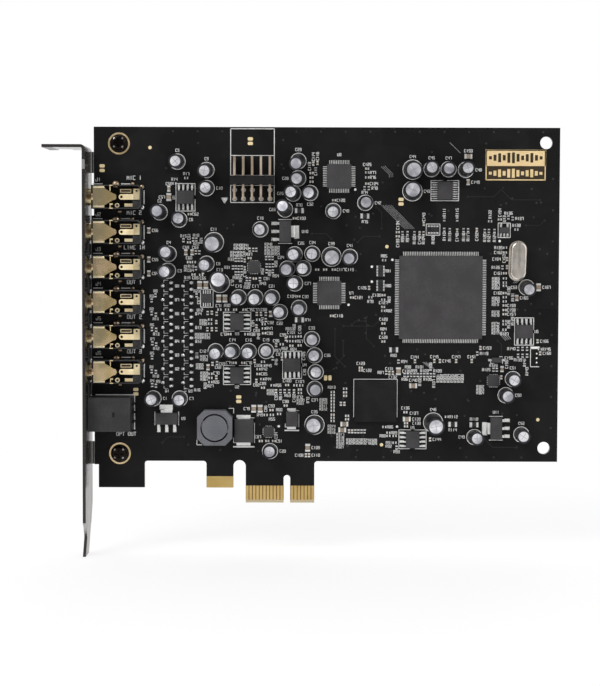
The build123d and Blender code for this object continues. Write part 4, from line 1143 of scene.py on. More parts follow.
@dataclass
class Dressing:
    """The finishes that the solids of the card take."""

    plain: dict[Finish, tuple[str, ...]] = field(default_factory=lambda: {
        Finish.MASK: ("circuit_board",),
        Finish.FINGER: ("edge_contacts",),
        Finish.STEEL: ("bracket",),
        Finish.SCREW: ("bracket_screws",),
        Finish.PLASTIC: ("optical_housing",),
        Finish.LENS: ("optical_emitter",),
        Finish.PIN: ("header_pins",),
        # Optical pins: painted shade
        Finish.DULL_PIN: ("optical_pins",),
        Finish.EPOXY: (
            "audio_processor", "converter_chips", "output_chip", "amplifier_chips", "small_chips", "flat_chips",
            "regulators", "diodes",
        ),
        Finish.BLACK_EPOXY: ("bridge_chip", "mute_transistors", "header_strip"),
        Finish.TIN: (
            "audio_processor_leads", "converter_leads", "output_chip_leads", "amplifier_leads", "small_chip_leads",
            "bridge_chip_balls", "regulator_leads", "mute_transistor_leads", "inductor_pads", "diode_terminals",
            "crystal_leads", "capacitor_leads", "chip_terminals",
        ),
        Finish.FERRITE: ("inductor_shield", "inductor_core"),
        Finish.COPPER: ("inductor_coil",),
        Finish.CRYSTAL: ("crystal_can", "crystal_base"),
        Finish.CAN: ("capacitor_cans",),
        Finish.SLEEVE: ("capacitor_sleeves",),
        Finish.RUBBER: ("capacitor_seals",),
        Finish.GLAZE: ("chip_resistors",),
        Finish.CERAMIC: ("chip_capacitors",),
    })
    jacks: int = 6

    def dress(self) -> None:
        """Gives every solid its finish."""
        for finish, nodes in self.plain.items():
            for node in nodes:
                self._paint(node, finish)
        for number in range(1, self.jacks + 1):
            self._paint(f"jack_{number}_housing", Finish.PLASTIC)
            self._paint(f"jack_{number}_sleeve", Finish.SLEEVE_GOLD)
            self._paint(f"jack_{number}_contacts", Finish.SPRING)

    def _paint(self, node: str, finish: Finish) -> None:
        """Sets the material of one node."""
        for slot in frame["nodes"][node].material_slots:
            slot.material = finish.material


@dataclass
class CanTops:
    """Scored vents in the tops of the electrolytic cans."""

    reach: float = 0.62
    width: float = 0.13
    lift: float = 0.02
    sink: float = 0.03
    seed: int = 5

    def build(self) -> None:
        """Scores every can with a cross, each turned its own way."""
        dice = random.Random(self.seed)
        heap = Heap()
        for island in islands("capacitor_cans"):
            middle, outward = island.crown()
            radius = self.reach * (island.high.x - island.low.x) / 2
            turn = dice.uniform(0.0, math.pi)
            lean = outward.to_track_quat("Z", "Y").to_matrix().to_4x4()
            seat = Matrix.Translation((middle + outward * (self.lift - self.sink) / 2) * MM) @ lean
            for quarter in (0.0, math.pi / 2):
                size = Matrix.Diagonal((2 * radius * MM, self.width * MM, (self.lift + self.sink) * MM, 1.0))
                place = seat @ Matrix.Rotation(turn + quarter, 4, "Z") @ size
                bmesh.ops.create_cube(heap.sheet, size=1.0, matrix=place)
        make_piece("can_vents", heap.join(), Finish.SCORE)


@dataclass
class SolderWork:
    """Pads under the leads and chips, fillets, and joints where leads come through the board.

    The profiles of drops and joints run from the foot to the top. A drop's points are shares of its radius and
    height, a joint's are shares of its radius and heights in millimetres.
    """

    pad_lift: float = 0.045
    pad_sink: float = 0.01
    chip_margin: float = 0.09
    lead_margin: float = 0.1
    lead_room: float = 0.1
    touch: float = 0.02
    broad_reach: float = 0.3
    fine_reach: float = 0.08
    fine_width: float = 0.4
    long_reach: dict[str, float] = field(default_factory=lambda: {"output_chip_leads": 0.62})
    header_ring: Spot = (0.42, 0.7)
    leadless_pitch: float = 0.5
    leadless_pad: Spot = (0.26, 0.5)
    leadless_ends: float = 0.7
    bite: float = 0.02
    fillet_radius: float = 0.52
    fillet_height: float = 0.36
    drop_share: float = 0.6
    drop_profile: tuple[Spot, ...] = ((0.93, 0.4), (0.6, 0.85))
    joint_radius: float = 0.78
    joint_height: float = 0.8
    joint_profile: tuple[Spot, ...] = ((0.92, 0.08), (0.55, 0.3), (0.38, 0.75))
    tail_lift: float = 0.2
    tail_break: float = 2.5
    slim_tail: float = 0.5
    tail_growth: float = 0.4
    footed: tuple[str, ...] = (
        "audio_processor_leads", "converter_leads", "output_chip_leads", "amplifier_leads", "small_chip_leads",
        "regulator_leads", "mute_transistor_leads", "diode_terminals",
    )
    through: tuple[str, ...] = (
        "capacitor_leads", "header_pins", "optical_pins", "crystal_leads",
        *(f"jack_{k}_contacts" for k in range(1, 7)), *(f"jack_{k}_sleeve" for k in range(1, 7)),
    )
    bright_drops: tuple[Point, ...] = ((-41.85, -2.96, 0.72),)
    aged_drops: tuple[Point, ...] = (
        (-41.95, 2.96, 0.75), (-44.6, 3.8, 0.55), (-49.5, 3.6, 1.22), (-48.4, -4.1, 0.7),
    )

    def build(self, crowd: Crowd) -> None:
        """Makes the pads, the fillets and the joints.

        Args:
            crowd: Takes the places that they use.
        """
        pads = Layer("solder_pads", Finish.SOLDER, "tin", Side.FRONT, -self.pad_sink, self.pad_lift)
        for island in islands("chip_terminals"):
            area = island.plan(self.chip_margin)
            pads.rect(area)
            crowd.add(area)
        for node in self.footed:
            for island in islands(node):
                foot = self._foot(island)
                if foot:
                    pads.rect(self._pad(foot, island, self.long_reach.get(node)))
                    crowd.add(island.plan(self.lead_room))
        self._leadless(pads)
        for x, z, _ in self._tails("header_pins"):
            pads.ring(x, z, *self.header_ring, 18)
        pads.done()
        self._fillets()
        self._joints()

    def _foot(self, lead: Island) -> Island | None:
        """The part of a lead that touches the board, if any does."""
        return lead.where(lambda point: -point.y - HALF_BOARD < self.touch)

    def _pad(self, foot: Island, island: Island, reach: float | None) -> Rect:
        """The pad under a foot, longer than the foot towards its tip.

        Args:
            foot: The part of the lead that touches the board.
            island: The whole lead.
            reach: How far the pad goes past the tip, or None for the usual reach.

        Returns:
            The pad's edges.
        """
        lying = island.high.x - island.low.x > island.high.z - island.low.z
        across = foot.high.z - foot.low.z if lying else foot.high.x - foot.low.x
        fine = across < self.fine_width
        if reach is None:
            reach = self.fine_reach if fine else self.broad_reach
        left, low, right, high = foot.plan(0.0 if fine else self.lead_margin)
        if lying:
            if foot.middle.x > island.middle.x:
                return left, low, right + reach, high
            return left - reach, low, right, high
        if foot.middle.z > island.middle.z:
            return left, low, right, high + reach
        return left, low - reach, right, high

    def _leadless(self, pads: Layer) -> None:
        """Short pads along the sides of the leadless chips.

        Args:
            pads: Takes the pads.
        """
        narrow, long = self.leadless_pad
        for island in islands("flat_chips"):
            left, low, right, high = island.plan()
            for start, stop, lying in ((left, right, True), (low, high, False)):
                count = max(2, int((stop - start - self.leadless_ends) / self.leadless_pitch))
                for number in range(count):
                    along = (start + stop) / 2 + (number - (count - 1) / 2) * self.leadless_pitch
                    if lying:
                        pads.patch(along, low, narrow, long)
                        pads.patch(along, high, narrow, long)
                    else:
                        pads.patch(left, along, long, narrow)
                        pads.patch(right, along, long, narrow)

    def _fillets(self) -> None:
        """Rounded solder on the feet of the small transistors and on the jacks' outer pads."""
        heap = Heap()
        for island in islands("mute_transistor_leads"):
            foot = self._foot(island)
            if foot:
                self._drop(heap, foot.middle.x, foot.middle.z, self.fillet_radius, self.fillet_height)
        aged = Heap()
        for axis in jack_axes():
            for target, drops in ((heap, self.bright_drops), (aged, self.aged_drops)):
                for x, rise, radius in drops:
                    self._drop(target, x, axis + rise, radius, radius * self.drop_share)
        make_piece("solder_fillets", heap.join(), Finish.SOLDER, smooth=True)
        make_piece("jack_fillets", aged.join(), Finish.AGED_GOLD, smooth=True)

    def _drop(self, heap: Heap, x: float, z: float, radius: float, height: float) -> None:
        """Adds one low round drop on the front of the board.

        Args:
            heap: Takes the drop.
            x: Middle along X.
            z: Middle along Z.
            radius: The drop's radius.
            height: The drop's height.
        """
        slope = ((radius * wide, -height * rise) for wide, rise in self.drop_profile)
        outline = ((0.0, self.bite), (radius, self.bite), *slope, (0.0, -height))
        self._turned(heap, outline, 12, (x, -HALF_BOARD, z))

    def _joints(self) -> None:
        """Makes the solder cones on the back of the board."""
        heap = Heap()
        for node in self.through:
            for x, z, radius in self._tails(node):
                slope = ((radius * wide, rise) for wide, rise in self.joint_profile)
                outline = ((0.0, -self.bite), (radius, -self.bite), *slope, (0.0, self.joint_height))
                self._turned(heap, outline, 10, (x, HALF_BOARD, z))
        make_piece("solder_joints", heap.join(), Finish.SOLDER, smooth=True)

    @staticmethod
    def _turned(heap: Heap, outline: Iterable[Spot], steps: int, spot: Point) -> None:
        """Adds a turned shape on the board.

        Args:
            heap: Takes the shape.
            outline: Radius and height of each point, from the axis back to the axis.
            steps: Number of steps round.
            spot: Place of the shape's foot in millimetres.
        """
        small = spun(outline, steps)
        seat = Matrix.Translation([part * MM for part in spot]) @ Matrix.Scale(MM, 4)
        bmesh.ops.transform(small, matrix=seat, verts=small.verts)
        heap.take(small)

    def _tails(self, node: str) -> list[Point]:
        """Finds the tails of a node's leads behind the board.

        Args:
            node: The node's name.

        Returns:
            Each tail's X, Z and joint radius.
        """
        found = []
        for island in islands(node):
            tail = island.where(lambda point: point.y > HALF_BOARD + self.tail_lift)
            if tail is None:
                continue
            parts = [tail]
            if tail.high.z - tail.low.z > self.tail_break:
                split = tail.middle.z
                parts = [tail.where(lambda p: p.z < split), tail.where(lambda p: p.z >= split)]
            for part in parts:
                size = max(part.high.z - part.low.z, part.high.x - part.low.x)
                radius = self.joint_radius + max(0.0, size - self.slim_tail) * self.tail_growth
                found.append((part.middle.x, part.middle.z, radius))
        return found


@dataclass
class GoldWork:
    """Bare gold on the board: screw rings, test pads, sighting dots, the fingers' ground and the framed panel."""

    lift: float = 0.04
    sink: float = 0.01
    ring_inner: float = 2.66
    ring_outer: float = 3.15
    ring_room: float = 3.3
    screws: tuple[Spot, ...] = ((-48.55, 103.85), (-48.45, 14.3))
    test_pads: tuple[Spot, ...] = (
        (-53.4, 97.4), (-53.4, 96.1), (-10.75, 105.25), (-10.75, 103.95), (-43.8, 32.9), (-43.8, 31.6), (-14.0, 30.8),
        (-14.0, 29.5), (32.7, 88.0), (32.7, 86.7),
    )
    tall_pads: tuple[Spot, ...] = ((11.15, 36.4), (12.4, 36.4))
    pad_size: Spot = (1.5, 0.95)
    pad_corner: float = 0.3
    sights: tuple[Spot, ...] = ((-39.6, 102.7), (28.7, 74.4), (27.4, 17.0), (72.7, 24.4))
    sight_radius: float = 0.5
    sight_room: float = 1.0
    finger_limit: float = 1.0
    finger_half: float = 0.45
    panel: Rect = (56.95, 93.5, 74.35, 102.4)
    panel_edge: float = 0.75
    panel_inset: float = 0.2
    panel_line: float = 0.3
    panel_split: float = 0.47
    bar_span: Spot = (0.18, 0.82)
    levels: tuple[float, ...] = (0.3, 0.55, 0.8, 0.5, 0.9, 0.97, 0.7, 0.4, 0.65, 0.85, 0.5, 0.3)

    def build(self, crowd: Crowd) -> None:
        """Makes the gold.

        Args:
            crowd: Takes the places that it uses.
        """
        gold = Layer("bare_gold", Finish.PAD, "gold_plate", Side.FRONT, -self.sink, self.lift)
        rear = Layer("bare_gold_back", Finish.PAD, "gold_plate", Side.BACK, -self.sink, self.lift)
        rings = Layer("screw_rings", Finish.BARE_GOLD, "gold_plate", Side.FRONT, -self.sink, self.lift)
        for x, z in self.screws:
            rings.ring(x, z, self.ring_inner, self.ring_outer, 48)
            crowd.add(around(x, z, self.ring_room, self.ring_room))
        rings.done()
        long, short = self.pad_size
        for pads, wide, tall in ((self.test_pads, long, short), (self.tall_pads, short, long)):
            for x, z in pads:
                gold.lozenge(x, z, wide, tall, self.pad_corner)
                crowd.add(around(x, z, wide, tall))
        for x, z in self.sights:
            gold.disc(x, z, self.sight_radius, 20)
            rear.disc(x, z, self.sight_radius, 20)
            crowd.add(around(x, z, self.sight_room, self.sight_room))
        gold.done()
        rear.done()
        self._finger_ground()
        backing = Layer("panel_ground", Finish.BROWN, "gold_plate", Side.FRONT, -self.sink, self.lift / 2)
        backing.rect(self.panel)
        backing.done()
        foil = Layer("panel_print", Finish.FOIL, "gold_plate", Side.FRONT, -self.sink / 2, self.lift)
        self._panel(foil)
        foil.done()
        crowd.add(self.panel)

    def _finger_ground(self) -> None:
        """Stained laminate between the edge fingers, on both faces."""
        for side, name in ((Side.FRONT, "finger_ground"), (Side.BACK, "finger_ground_back")):
            ground = Layer(name, Finish.GROUND, "gold_plate", side, -self.sink, self.lift / 2)
            for island in islands("edge_contacts"):
                if island.middle.y * side.value > 0 and island.high.x - island.low.x < self.finger_limit:
                    x = island.middle.x
                    ground.rect((x - self.finger_half, island.low.z, x + self.finger_half, island.high.z))
            ground.done()

    def _panel(self, gold: Layer) -> None:
        """A framed panel of level bars: dark on gold above, gold on dark below.

        Args:
            gold: Takes the panel's gold.
        """
        left, low, right, high = self.panel
        edge, inset = self.panel_edge, self.panel_inset
        gold.frame((left + inset, low + inset, right - inset, high - inset), self.panel_line)
        middle = low + (high - low) * self.panel_split
        for area in (
            (left, high - edge, right, high), (left, middle, right, middle + edge),
            (left, middle + edge, left + edge, high - edge), (right - edge, middle + edge, right, high - edge),
        ):
            gold.rect(area)
        pitch = (right - left - 2 * edge) / len(self.levels)
        upper, lower = (middle + high) / 2, (low + middle) / 2
        for number, level in enumerate(self.levels):
            start = left + edge + pitch * number
            first, last = (start + pitch * share for share in self.bar_span)
            stop = start + pitch
            rise = level * (high - middle - 2 * edge) / 2
            for area in (
                (start, middle + edge, first, high - edge), (last, middle + edge, stop, high - edge),
                (first, upper + rise, last, high - edge), (first, middle + edge, last, upper - rise),
            ):
                gold.rect(area)
            rise = level * (middle - low - 2 * edge) / 2
            gold.rect((first, lower - rise, last, lower + rise))


@dataclass
class JackTrim:
    """Small work in and between the jacks: blades and clips of the walls, painted dark shade on the spring faces and
    rivets, and a black sheet of painted shade on the bracket between the jacks.

    Blades and clips are given by their edges, with heights from the jack's axis.
    """

    blades: tuple[Rect, ...] = (
        (-50.72, 1.6, -50.5, 3.2), (-50.72, -3.2, -50.5, -1.85), (-50.5, -2.3, -49.9, -1.85),
    )
    blade_foot: float = 5.3
    blade_lift: float = 5.6
    clips: tuple[Rect, ...] = ((-50.8, 3.12, -49.85, 3.38), (-50.8, -3.38, -49.85, -3.12))
    clip_foot: float = 5.88
    clip_lift: float = 6.02
    cover: float = 0.04
    eye: float = 0.62
    eye_slack: float = 0.1
    spring_length: float = 3.0
    spring_width: float = 1.2
    spring_rim: Spot = (0.45, 0.42)
    # Thickness, sink, seat and reach of the black sheet of painted shade
    shade_sheet: float = 0.05
    shade_sheet_sink: float = 0.01
    shade_sheet_seat: float = -56.8
    shade_sheet_from: float = -8.5
    shade_sheet_to: float = 2.2

    def build(self) -> None:
        """Makes the trim of every jack."""
        blades = Layer("jack_blades", Finish.PAD, "gold_plate", Side.FRONT, self.blade_foot, self.blade_lift)
        clips = Layer("jack_clips", Finish.PAD, "gold_plate", Side.FRONT, self.clip_foot, self.clip_lift)
        for axis in jack_axes():
            for layer, areas in ((blades, self.blades), (clips, self.clips)):
                for left, low, right, high in areas:
                    layer.rect((left, axis + low, right, axis + high))
        blades.done()
        clips.done()
        self._springs()
        self._shade_sheet()

    def _springs(self) -> None:
        """Paints shade on the hollow rivets and the folded faces of the ring springs."""
        eyes = Heap()
        faces = Heap()
        for number in range(1, len(jack_axes()) + 1):
            for island in islands(f"jack_{number}_contacts"):
                wide, tall = island.high.x - island.low.x, island.high.z - island.low.z
                if abs(wide - tall) < self.eye_slack:
                    self._cover(eyes, island, self.eye, self.eye)
                elif wide > self.spring_length and tall < self.spring_width:
                    self._cover(faces, island, wide - self.spring_rim[0], tall - self.spring_rim[1])
        make_piece("rivet_eye_shade", eyes.join(), Finish.RUBBER)
        make_piece("spring_face_shade", faces.join(), Finish.BROWN)

    def _cover(self, heap: Heap, spring: Island, wide: float, tall: float) -> None:
        """Adds a thin dark face of painted shade on a spring.

        Args:
            heap: Takes the face.
            spring: The spring's solid.
            wide: Size along X.
            tall: Size along Z.
        """
        size = Matrix.Diagonal((wide * MM, self.cover * MM, tall * MM, 1.0))
        seat = Matrix.Translation((spring.middle.x * MM, spring.low.y * MM, spring.middle.z * MM))
        bmesh.ops.create_cube(heap.sheet, size=1.0, matrix=seat @ size)

    def _shade_sheet(self) -> None:
        """A black sheet of painted shade on the bracket's inner face, between the jacks from the second one down."""
        low, high = (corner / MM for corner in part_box("jack_2_housing"))
        reach = (high.z - low.z) / 2
        axes = jack_axes()[1:]
        ends = [axis + reach for axis in axes[1:]] + [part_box("optical_housing")[1].z / MM]
        x = self.shade_sheet_seat + self.shade_sheet / 2 - self.shade_sheet_sink
        y = (self.shade_sheet_from + self.shade_sheet_to) / 2
        shade_sheet = Heap()
        for axis, end in zip(axes, ends):
            top = axis - reach
            size = Matrix.Diagonal((self.shade_sheet * MM, (self.shade_sheet_to - self.shade_sheet_from) * MM, (top - end) * MM, 1.0))
            middle = Vector((x, y, (top + end) / 2))
            bmesh.ops.create_cube(shade_sheet.sheet, size=1.0, matrix=Matrix.Translation(middle * MM) @ size)
        make_piece("painted_shade_sheet", shade_sheet.join(), Finish.RUBBER)


@dataclass(frozen=True)
class Zone:
    """A part of the board whose small parts carry their numbers on one side."""

    area: Rect
    step: tuple[int, int]
    upright: bool

    def holds(self, x: float, z: float) -> bool:
        """True for a point in the zone."""
        left, low, right, high = self.area
        return left < x < right and low < z < high


@dataclass
class Print:
    """White printed marks: rings, outlines, brackets, dots and part numbers.

    Marks of the jacks have heights from the jack's axis. A label is given by its middle and letter height, a bar by
    its two ends and its width, and a stack by its first number's place, its rows and its columns.
    """

    WAYS = ((0, 1), (1, 0), (-1, 0), (0, -1), (0.5, 1), (-0.5, 1), (0.5, -1), (-0.5, -1))
    GAPS = (0.6, 1.1, 1.7, 2.4, 3.2)

    crowd: Crowd
    ink: Layer = field(init=False)
    lift: float = 0.02
    sink: float = 0.005
    thin: float = 0.18
    ring_width: float = 0.2
    small_ring: float = 2.33
    large_ring: float = 2.92
    large_seal: float = 4.2
    height: float = 0.74
    letter_step: float = 0.82
    letter_gap: float = 0.3
    margin: float = 0.12
    limits: Rect = (-54.5, 13.2, 77.0, 107.6)
    beside: float = 0.3
    past_amplifier_leads: float = 2.0
    past_small_leads: float = 1.25
    past_output_leads: float = 1.8
    amplifier_gap: float = 0.85
    first_pin_gap: float = 0.6
    bridge_foot: float = 1.6
    lead_room: float = 1.7
    chip_room: float = 0.1
    transistor_gap: float = 0.22
    transistor_room: float = 0.8
    transistor_bracket: Spot = (1.2, 0.7)
    transistor_line: float = 0.75
    regulator_gap: float = 0.25
    regulator_room: float = 0.3
    power_gap: float = 0.28
    corner_most: float = 1.4
    corner_share: float = 0.25
    counts: dict[Trade, int] = field(default_factory=lambda: {trade: 0 for trade in Trade})
    reserved: tuple[Rect, ...] = (
        (56.4, 92.8, 75.6, 103.0), (-57.0, 20.5, -44.0, 32.0), (70.1, 39.5, 73.1, 46.0), (72.0, 101.9, 76.9, 106.8),
        (72.0, 13.7, 76.9, 18.6),
    )
    header: Rect = (-16.4, 87.0, -3.85, 108.15)
    header_line: float = 1.15
    header_bars: tuple[float, ...] = (100.5, 94.8, 91.9)
    header_room: Rect = (-16.8, 86.8, -3.4, 108.6)
    arrow: tuple[Spot, ...] = ((-18.9, 88.2), (-17.4, 88.2), (-18.15, 86.9), (-18.9, 88.2))
    arrow_line: float = 0.35
    arrow_core: Rect = (-18.6, 87.5, -17.7, 88.1)
    arrow_room: Rect = (-19.2, 86.6, -17.0, 88.6)
    jack_words: tuple[str, ...] = ("MIC 1", "MIC 2", "LINE IN", "OUT 1", "OUT 2", "OUT 3")
    jack_bars: tuple[Line, ...] = (
        (-41.35, -1.9, -41.35, 1.9, 0.32), (-56.0, 3.85, -53.4, 3.85, 0.27), (-47.9, 3.85, -45.4, 3.85, 0.27),
    )
    jack_number: Point = (-54.6, 5.1, 0.95)
    jack_label: Point = (-44.2, 5.6, 1.05)
    jack_rooms: tuple[Rect, ...] = ((-57.0, -5.0, -40.9, 5.0), (-48.0, 4.8, -40.0, 6.4))
    socket_path: tuple[Spot, ...] = ((-55.4, 31.35), (-44.2, 31.35), (-44.2, 21.4))
    socket_line: float = 1.75
    socket_label: Point = (-46.6, 20.0, 1.0)
    socket_room: Rect = (-51.0, 19.2, -42.0, 20.8)
    zones: tuple[Zone, ...] = (
        Zone((30.0, 77.2, 62.0, 82.5), (0, -1), True), Zone((-3.8, 31.8, 3.0, 34.4), (0, -1), True),
        Zone((17.0, 19.6, 23.5, 21.8), (0, -1), True), Zone((61.0, 49.0, 65.5, 69.0), (-1, 0), False),
        Zone((12.2, 23.5, 14.4, 32.5), (-1, 0), False), Zone((-31.0, 44.0, -20.0, 57.0), (-1, 0), False),
    )
    network: Rect = (40.0, 77.75, 43.95, 80.95)
    first_number: int = 301
    row: tuple[float, float, int] = (43.7, 36.35, 8)
    row_room: Spot = (0.6, 1.3)
    stacks: tuple[tuple[float, float, int, int], ...] = (
        (10.5, 31.0, 5, 1), (12.9, 34.6, 2, 1), (12.9, 23.3, 4, 1), (15.45, 20.0, 5, 1), (18.3, 18.4, 2, 3),
        (25.0, 18.3, 2, 1), (3.9, 29.9, 2, 1), (-4.75, 33.6, 3, 1), (-26.4, 56.0, 2, 2), (-26.4, 52.9, 2, 2),
        (-25.6, 48.9, 2, 2), (-14.4, 74.7, 2, 2), (-15.4, 72.6, 2, 2), (-5.5, 75.0, 4, 2), (-25.3, 40.1, 2, 1),
        (-24.1, 42.5, 2, 1), (-24.0, 37.7, 3, 1), (55.9, 34.0, 3, 1), (60.2, 65.3, 4, 1), (60.2, 59.6, 3, 1),
        (60.2, 55.6, 2, 1), (60.2, 52.3, 4, 1),
    )
    stack_step: Spot = (2.15, 0.92)
    stack_room: Spot = (1.0, 0.38)
    stack_height: float = 0.68
    quiet: tuple[Rect, ...] = ((-17.0, 69.5, -2.0, 77.0), (-26.5, 46.0, -18.0, 57.5), (10.0, 19.0, 24.0, 36.0))
    dots: tuple[Spot, ...] = (
        (19.5, 90.8), (17.7, 57.6), (30.3, 70.6), (24.4, 68.6), (24.4, 64.3), (31.9, 22.3), (-2.4, 22.3), (61.2, 76.1),
    )
    dot_radius: float = 0.36
    dot_room: float = 0.5
    lone_bars: tuple[Line, ...] = (
        (-15.5, 16.3, -9.5, 16.3, 0.4), (-0.6, 21.1, 3.4, 21.1, 0.35), (70.5, 45.3, 72.8, 45.3, 0.7),
    )
    lone_corner: tuple[Spot, ...] = ((72.9, 39.8), (70.4, 39.8), (70.4, 45.4))
    pin_dots: tuple[Spot, ...] = ((72.2, 43.6), (72.2, 42.3), (72.2, 41.0))
    pin_dot_radius: float = 0.25

    def __post_init__(self) -> None:
        """Starts the layer of ink."""
        self.ink = Layer("printed_marks", Finish.INK, "ceramic", Side.FRONT, -self.sink, self.lift)

    def build(self) -> None:
        """Prints the marks."""
        for area in self.reserved:
            self.crowd.add(area)
        self._cans()
        self._outlines()
        self._fixed()
        self._numbers()
        self.ink.done()

    def _cans(self) -> None:
        """A ring around each electrolytic capacitor."""
        for island in islands("capacitor_seals"):
            x, z = island.middle.x, island.middle.z
            outer = self.small_ring if island.high.x - island.low.x < self.large_seal else self.large_ring
            self.ink.ring(x, z, outer - self.ring_width, outer)
            self.crowd.add(around(x, z, outer, outer))

    def _outlines(self) -> None:
        """Frames and lines around the chips."""
        beside = self.beside
        for island in islands("amplifier_chips"):
            left, low, right, high = island.plan()
            standing = right - left > high - low
            past = self.past_amplifier_leads
            across, along = (beside, past) if standing else (past, beside)
            area = (left - across, low - along, right + across, high + along)
            self._broken_frame(area, not standing, 0.0 if standing else self.amplifier_gap)
            self.crowd.add(area)
        for island in islands("small_chips"):
            left, low, right, high = island.plan()
            area = (left - beside, low - self.past_small_leads, right + beside, high + self.past_small_leads)
            self.ink.frame(area, self.thin)
            self.crowd.add(area)
        for island in islands("output_chip"):
            left, low, right, high = island.plan()
            area = (left - self.past_output_leads, low - beside, right + self.past_output_leads, high + beside)
            self._broken_frame(area, True)
            self.crowd.add(area)
        for island in islands("bridge_chip"):
            left, low, right, high = area = island.plan(beside)
            foot = low + self.bridge_foot
            self.ink.path(((left, foot), (left, high), (right, high), (right, foot)), self.thin)
            self.crowd.add(area)
        self.ink.frame(self.network, self.thin)
        self.crowd.add(self.network)
        for node in ("audio_processor", "converter_chips"):
            for island in islands(node):
                self.crowd.add(island.plan(self.lead_room))
        self._transistors()
        self._regulators()
        self._power()
        for node in ("chip_resistors", "chip_capacitors", "flat_chips", "crystal_base"):
            for island in islands(node):
                self.crowd.add(island.plan(self.chip_room))

    def _transistors(self) -> None:
        """Brackets at the left corners of the small transistors."""
        long, short = self.transistor_bracket
        for island in islands("mute_transistors"):
            left, low, right, high = island.plan(self.transistor_gap)
            for z, inward in ((high, -short), (low, short)):
                points = ((left + long, z), (left, z), (left, z + inward))
                self.ink.path(points, self.thin * self.transistor_line)
            self.crowd.add((left - self.transistor_room, low, right + self.transistor_room, high))

    def _regulators(self) -> None:
        """Lines along the two short sides of the regulators."""
        room = self.regulator_room
        for island in islands("regulators"):
            left, low, right, high = island.plan(self.regulator_gap)
            if right - left > high - low:
                self.ink.bar(left, low, left, high, self.thin)
                self.ink.bar(right, low, right, high, self.thin)
            else:
                self.ink.bar(left, low, right, low, self.thin)
                self.ink.bar(left, high, right, high, self.thin)
            self.crowd.add((left - room, low - room, right + room, high + room))

    def _power(self) -> None:
        """Brackets around the diodes and the inductor, with a bar at each diode's cathode."""
        for node in ("diodes", "inductor_shield"):
            for island in islands(node):
                left, low, right, high = area = island.plan(self.power_gap)
                self.crowd.add(area)
                self._corners(area, min(self.corner_most, (right - left) * self.corner_share))
                if node == "diodes":
                    self.ink.bar(right, low, right, high, self.thin)

    def _broken_frame(self, area: Rect, lying: bool, opposite: float = 0.0) -> None:
        """A frame with a gap at the first-pin end.

        Args:
            area: The frame's edges.
            lying: True with the gap above, False with the gap at the right.
            opposite: Half of the gap at the other end.
        """
        left, low, right, high = area
        for side in (-1, 1):
            if lying:
                middle, edge = (left + right) / 2, left if side < 0 else right
                start, stop = (middle + side * self.first_pin_gap, high), (middle + side * opposite, low)
                self.ink.path((start, (edge, high), (edge, low), stop), self.thin)
            else:
                middle, edge = (low + high) / 2, low if side < 0 else high
                start, stop = (right, middle + side * self.first_pin_gap), (left, middle + side * opposite)
                self.ink.path((start, (right, edge), (left, edge), stop), self.thin)

    def _corners(self, area: Rect, length: float) -> None:
        """Brackets at two opposite corners.

        Args:
            area: The rectangle's edges.
            length: Length of each arm.
        """
        left, low, right, high = area
        self.ink.path(((right - length, high), (right, high), (right, high - length)), self.thin)
        self.ink.path(((left, low + length), (left, low), (left + length, low)), self.thin)

    def _fixed(self) -> None:
        """Marks at set places: header box, jacks, socket, first-pin dots and polarity bars."""
        self._header()
        self._jacks()
        x, z, count = self.row
        for number in range(count):
            self.ink.text(f"R{self.first_number + number}", x + number, z, self.height, upright=True)
        beside, above = self.row_room
        self.crowd.add((x - beside, z - above, x + count, z + above))
        self._stacks(self.first_number + count)
        for x, z in self.dots:
            self.ink.disc(x, z, self.dot_radius)
            self.crowd.add(around(x, z, self.dot_room, self.dot_room))
        for bar in self.lone_bars:
            self.ink.bar(*bar)
        self.ink.path(self.lone_corner, self.thin)
        for x, z in self.pin_dots:
            self.ink.disc(x, z, self.pin_dot_radius)

    def _header(self) -> None:
        """The box around the header and the arrow at its first pin."""
        self.ink.frame(self.header, self.thin * self.header_line)
        left, _, right, _ = self.header
        for z in self.header_bars:
            self.ink.bar(left, z, right, z, self.thin)
        self.crowd.add(self.header_room)
        self.ink.path(self.arrow, self.arrow_line)
        self.ink.rect(self.arrow_core)
        self.crowd.add(self.arrow_room)

    def _jacks(self) -> None:
        """Bars, numbers and words beside the jacks, and the lines of the optical socket."""
        for number, (axis, words) in enumerate(zip(jack_axes(), self.jack_words), start=1):
            for x0, rise0, x1, rise1, width in self.jack_bars:
                self.ink.bar(x0, axis + rise0, x1, axis + rise1, width)
            for label, (x, rise, height) in ((f"J{number}", self.jack_number), (words, self.jack_label)):
                self.ink.text(label, x, axis + rise, height)
            for left, low, right, high in self.jack_rooms:
                self.crowd.add((left, axis + low, right, axis + high))
        self.ink.path(self.socket_path, self.thin * self.socket_line)
        self.ink.text("OPT OUT", *self.socket_label)
        self.crowd.add(self.socket_room)

    def _stacks(self, first: int) -> None:
        """Blocks of part numbers beside crowded parts, where nothing else stands.

        Args:
            first: The first part number.
        """
        number = first
        across, down = self.stack_step
        for x, z, rows, columns in self.stacks:
            for row in range(rows):
                for column in range(columns):
                    cx, cz = x + column * across, z - row * down
                    area = around(cx, cz, *self.stack_room)
                    if self.crowd.free(area):
                        self.ink.text(f"R{number}", cx, cz, self.stack_height)
                        self.crowd.add(area)
                        number += 1

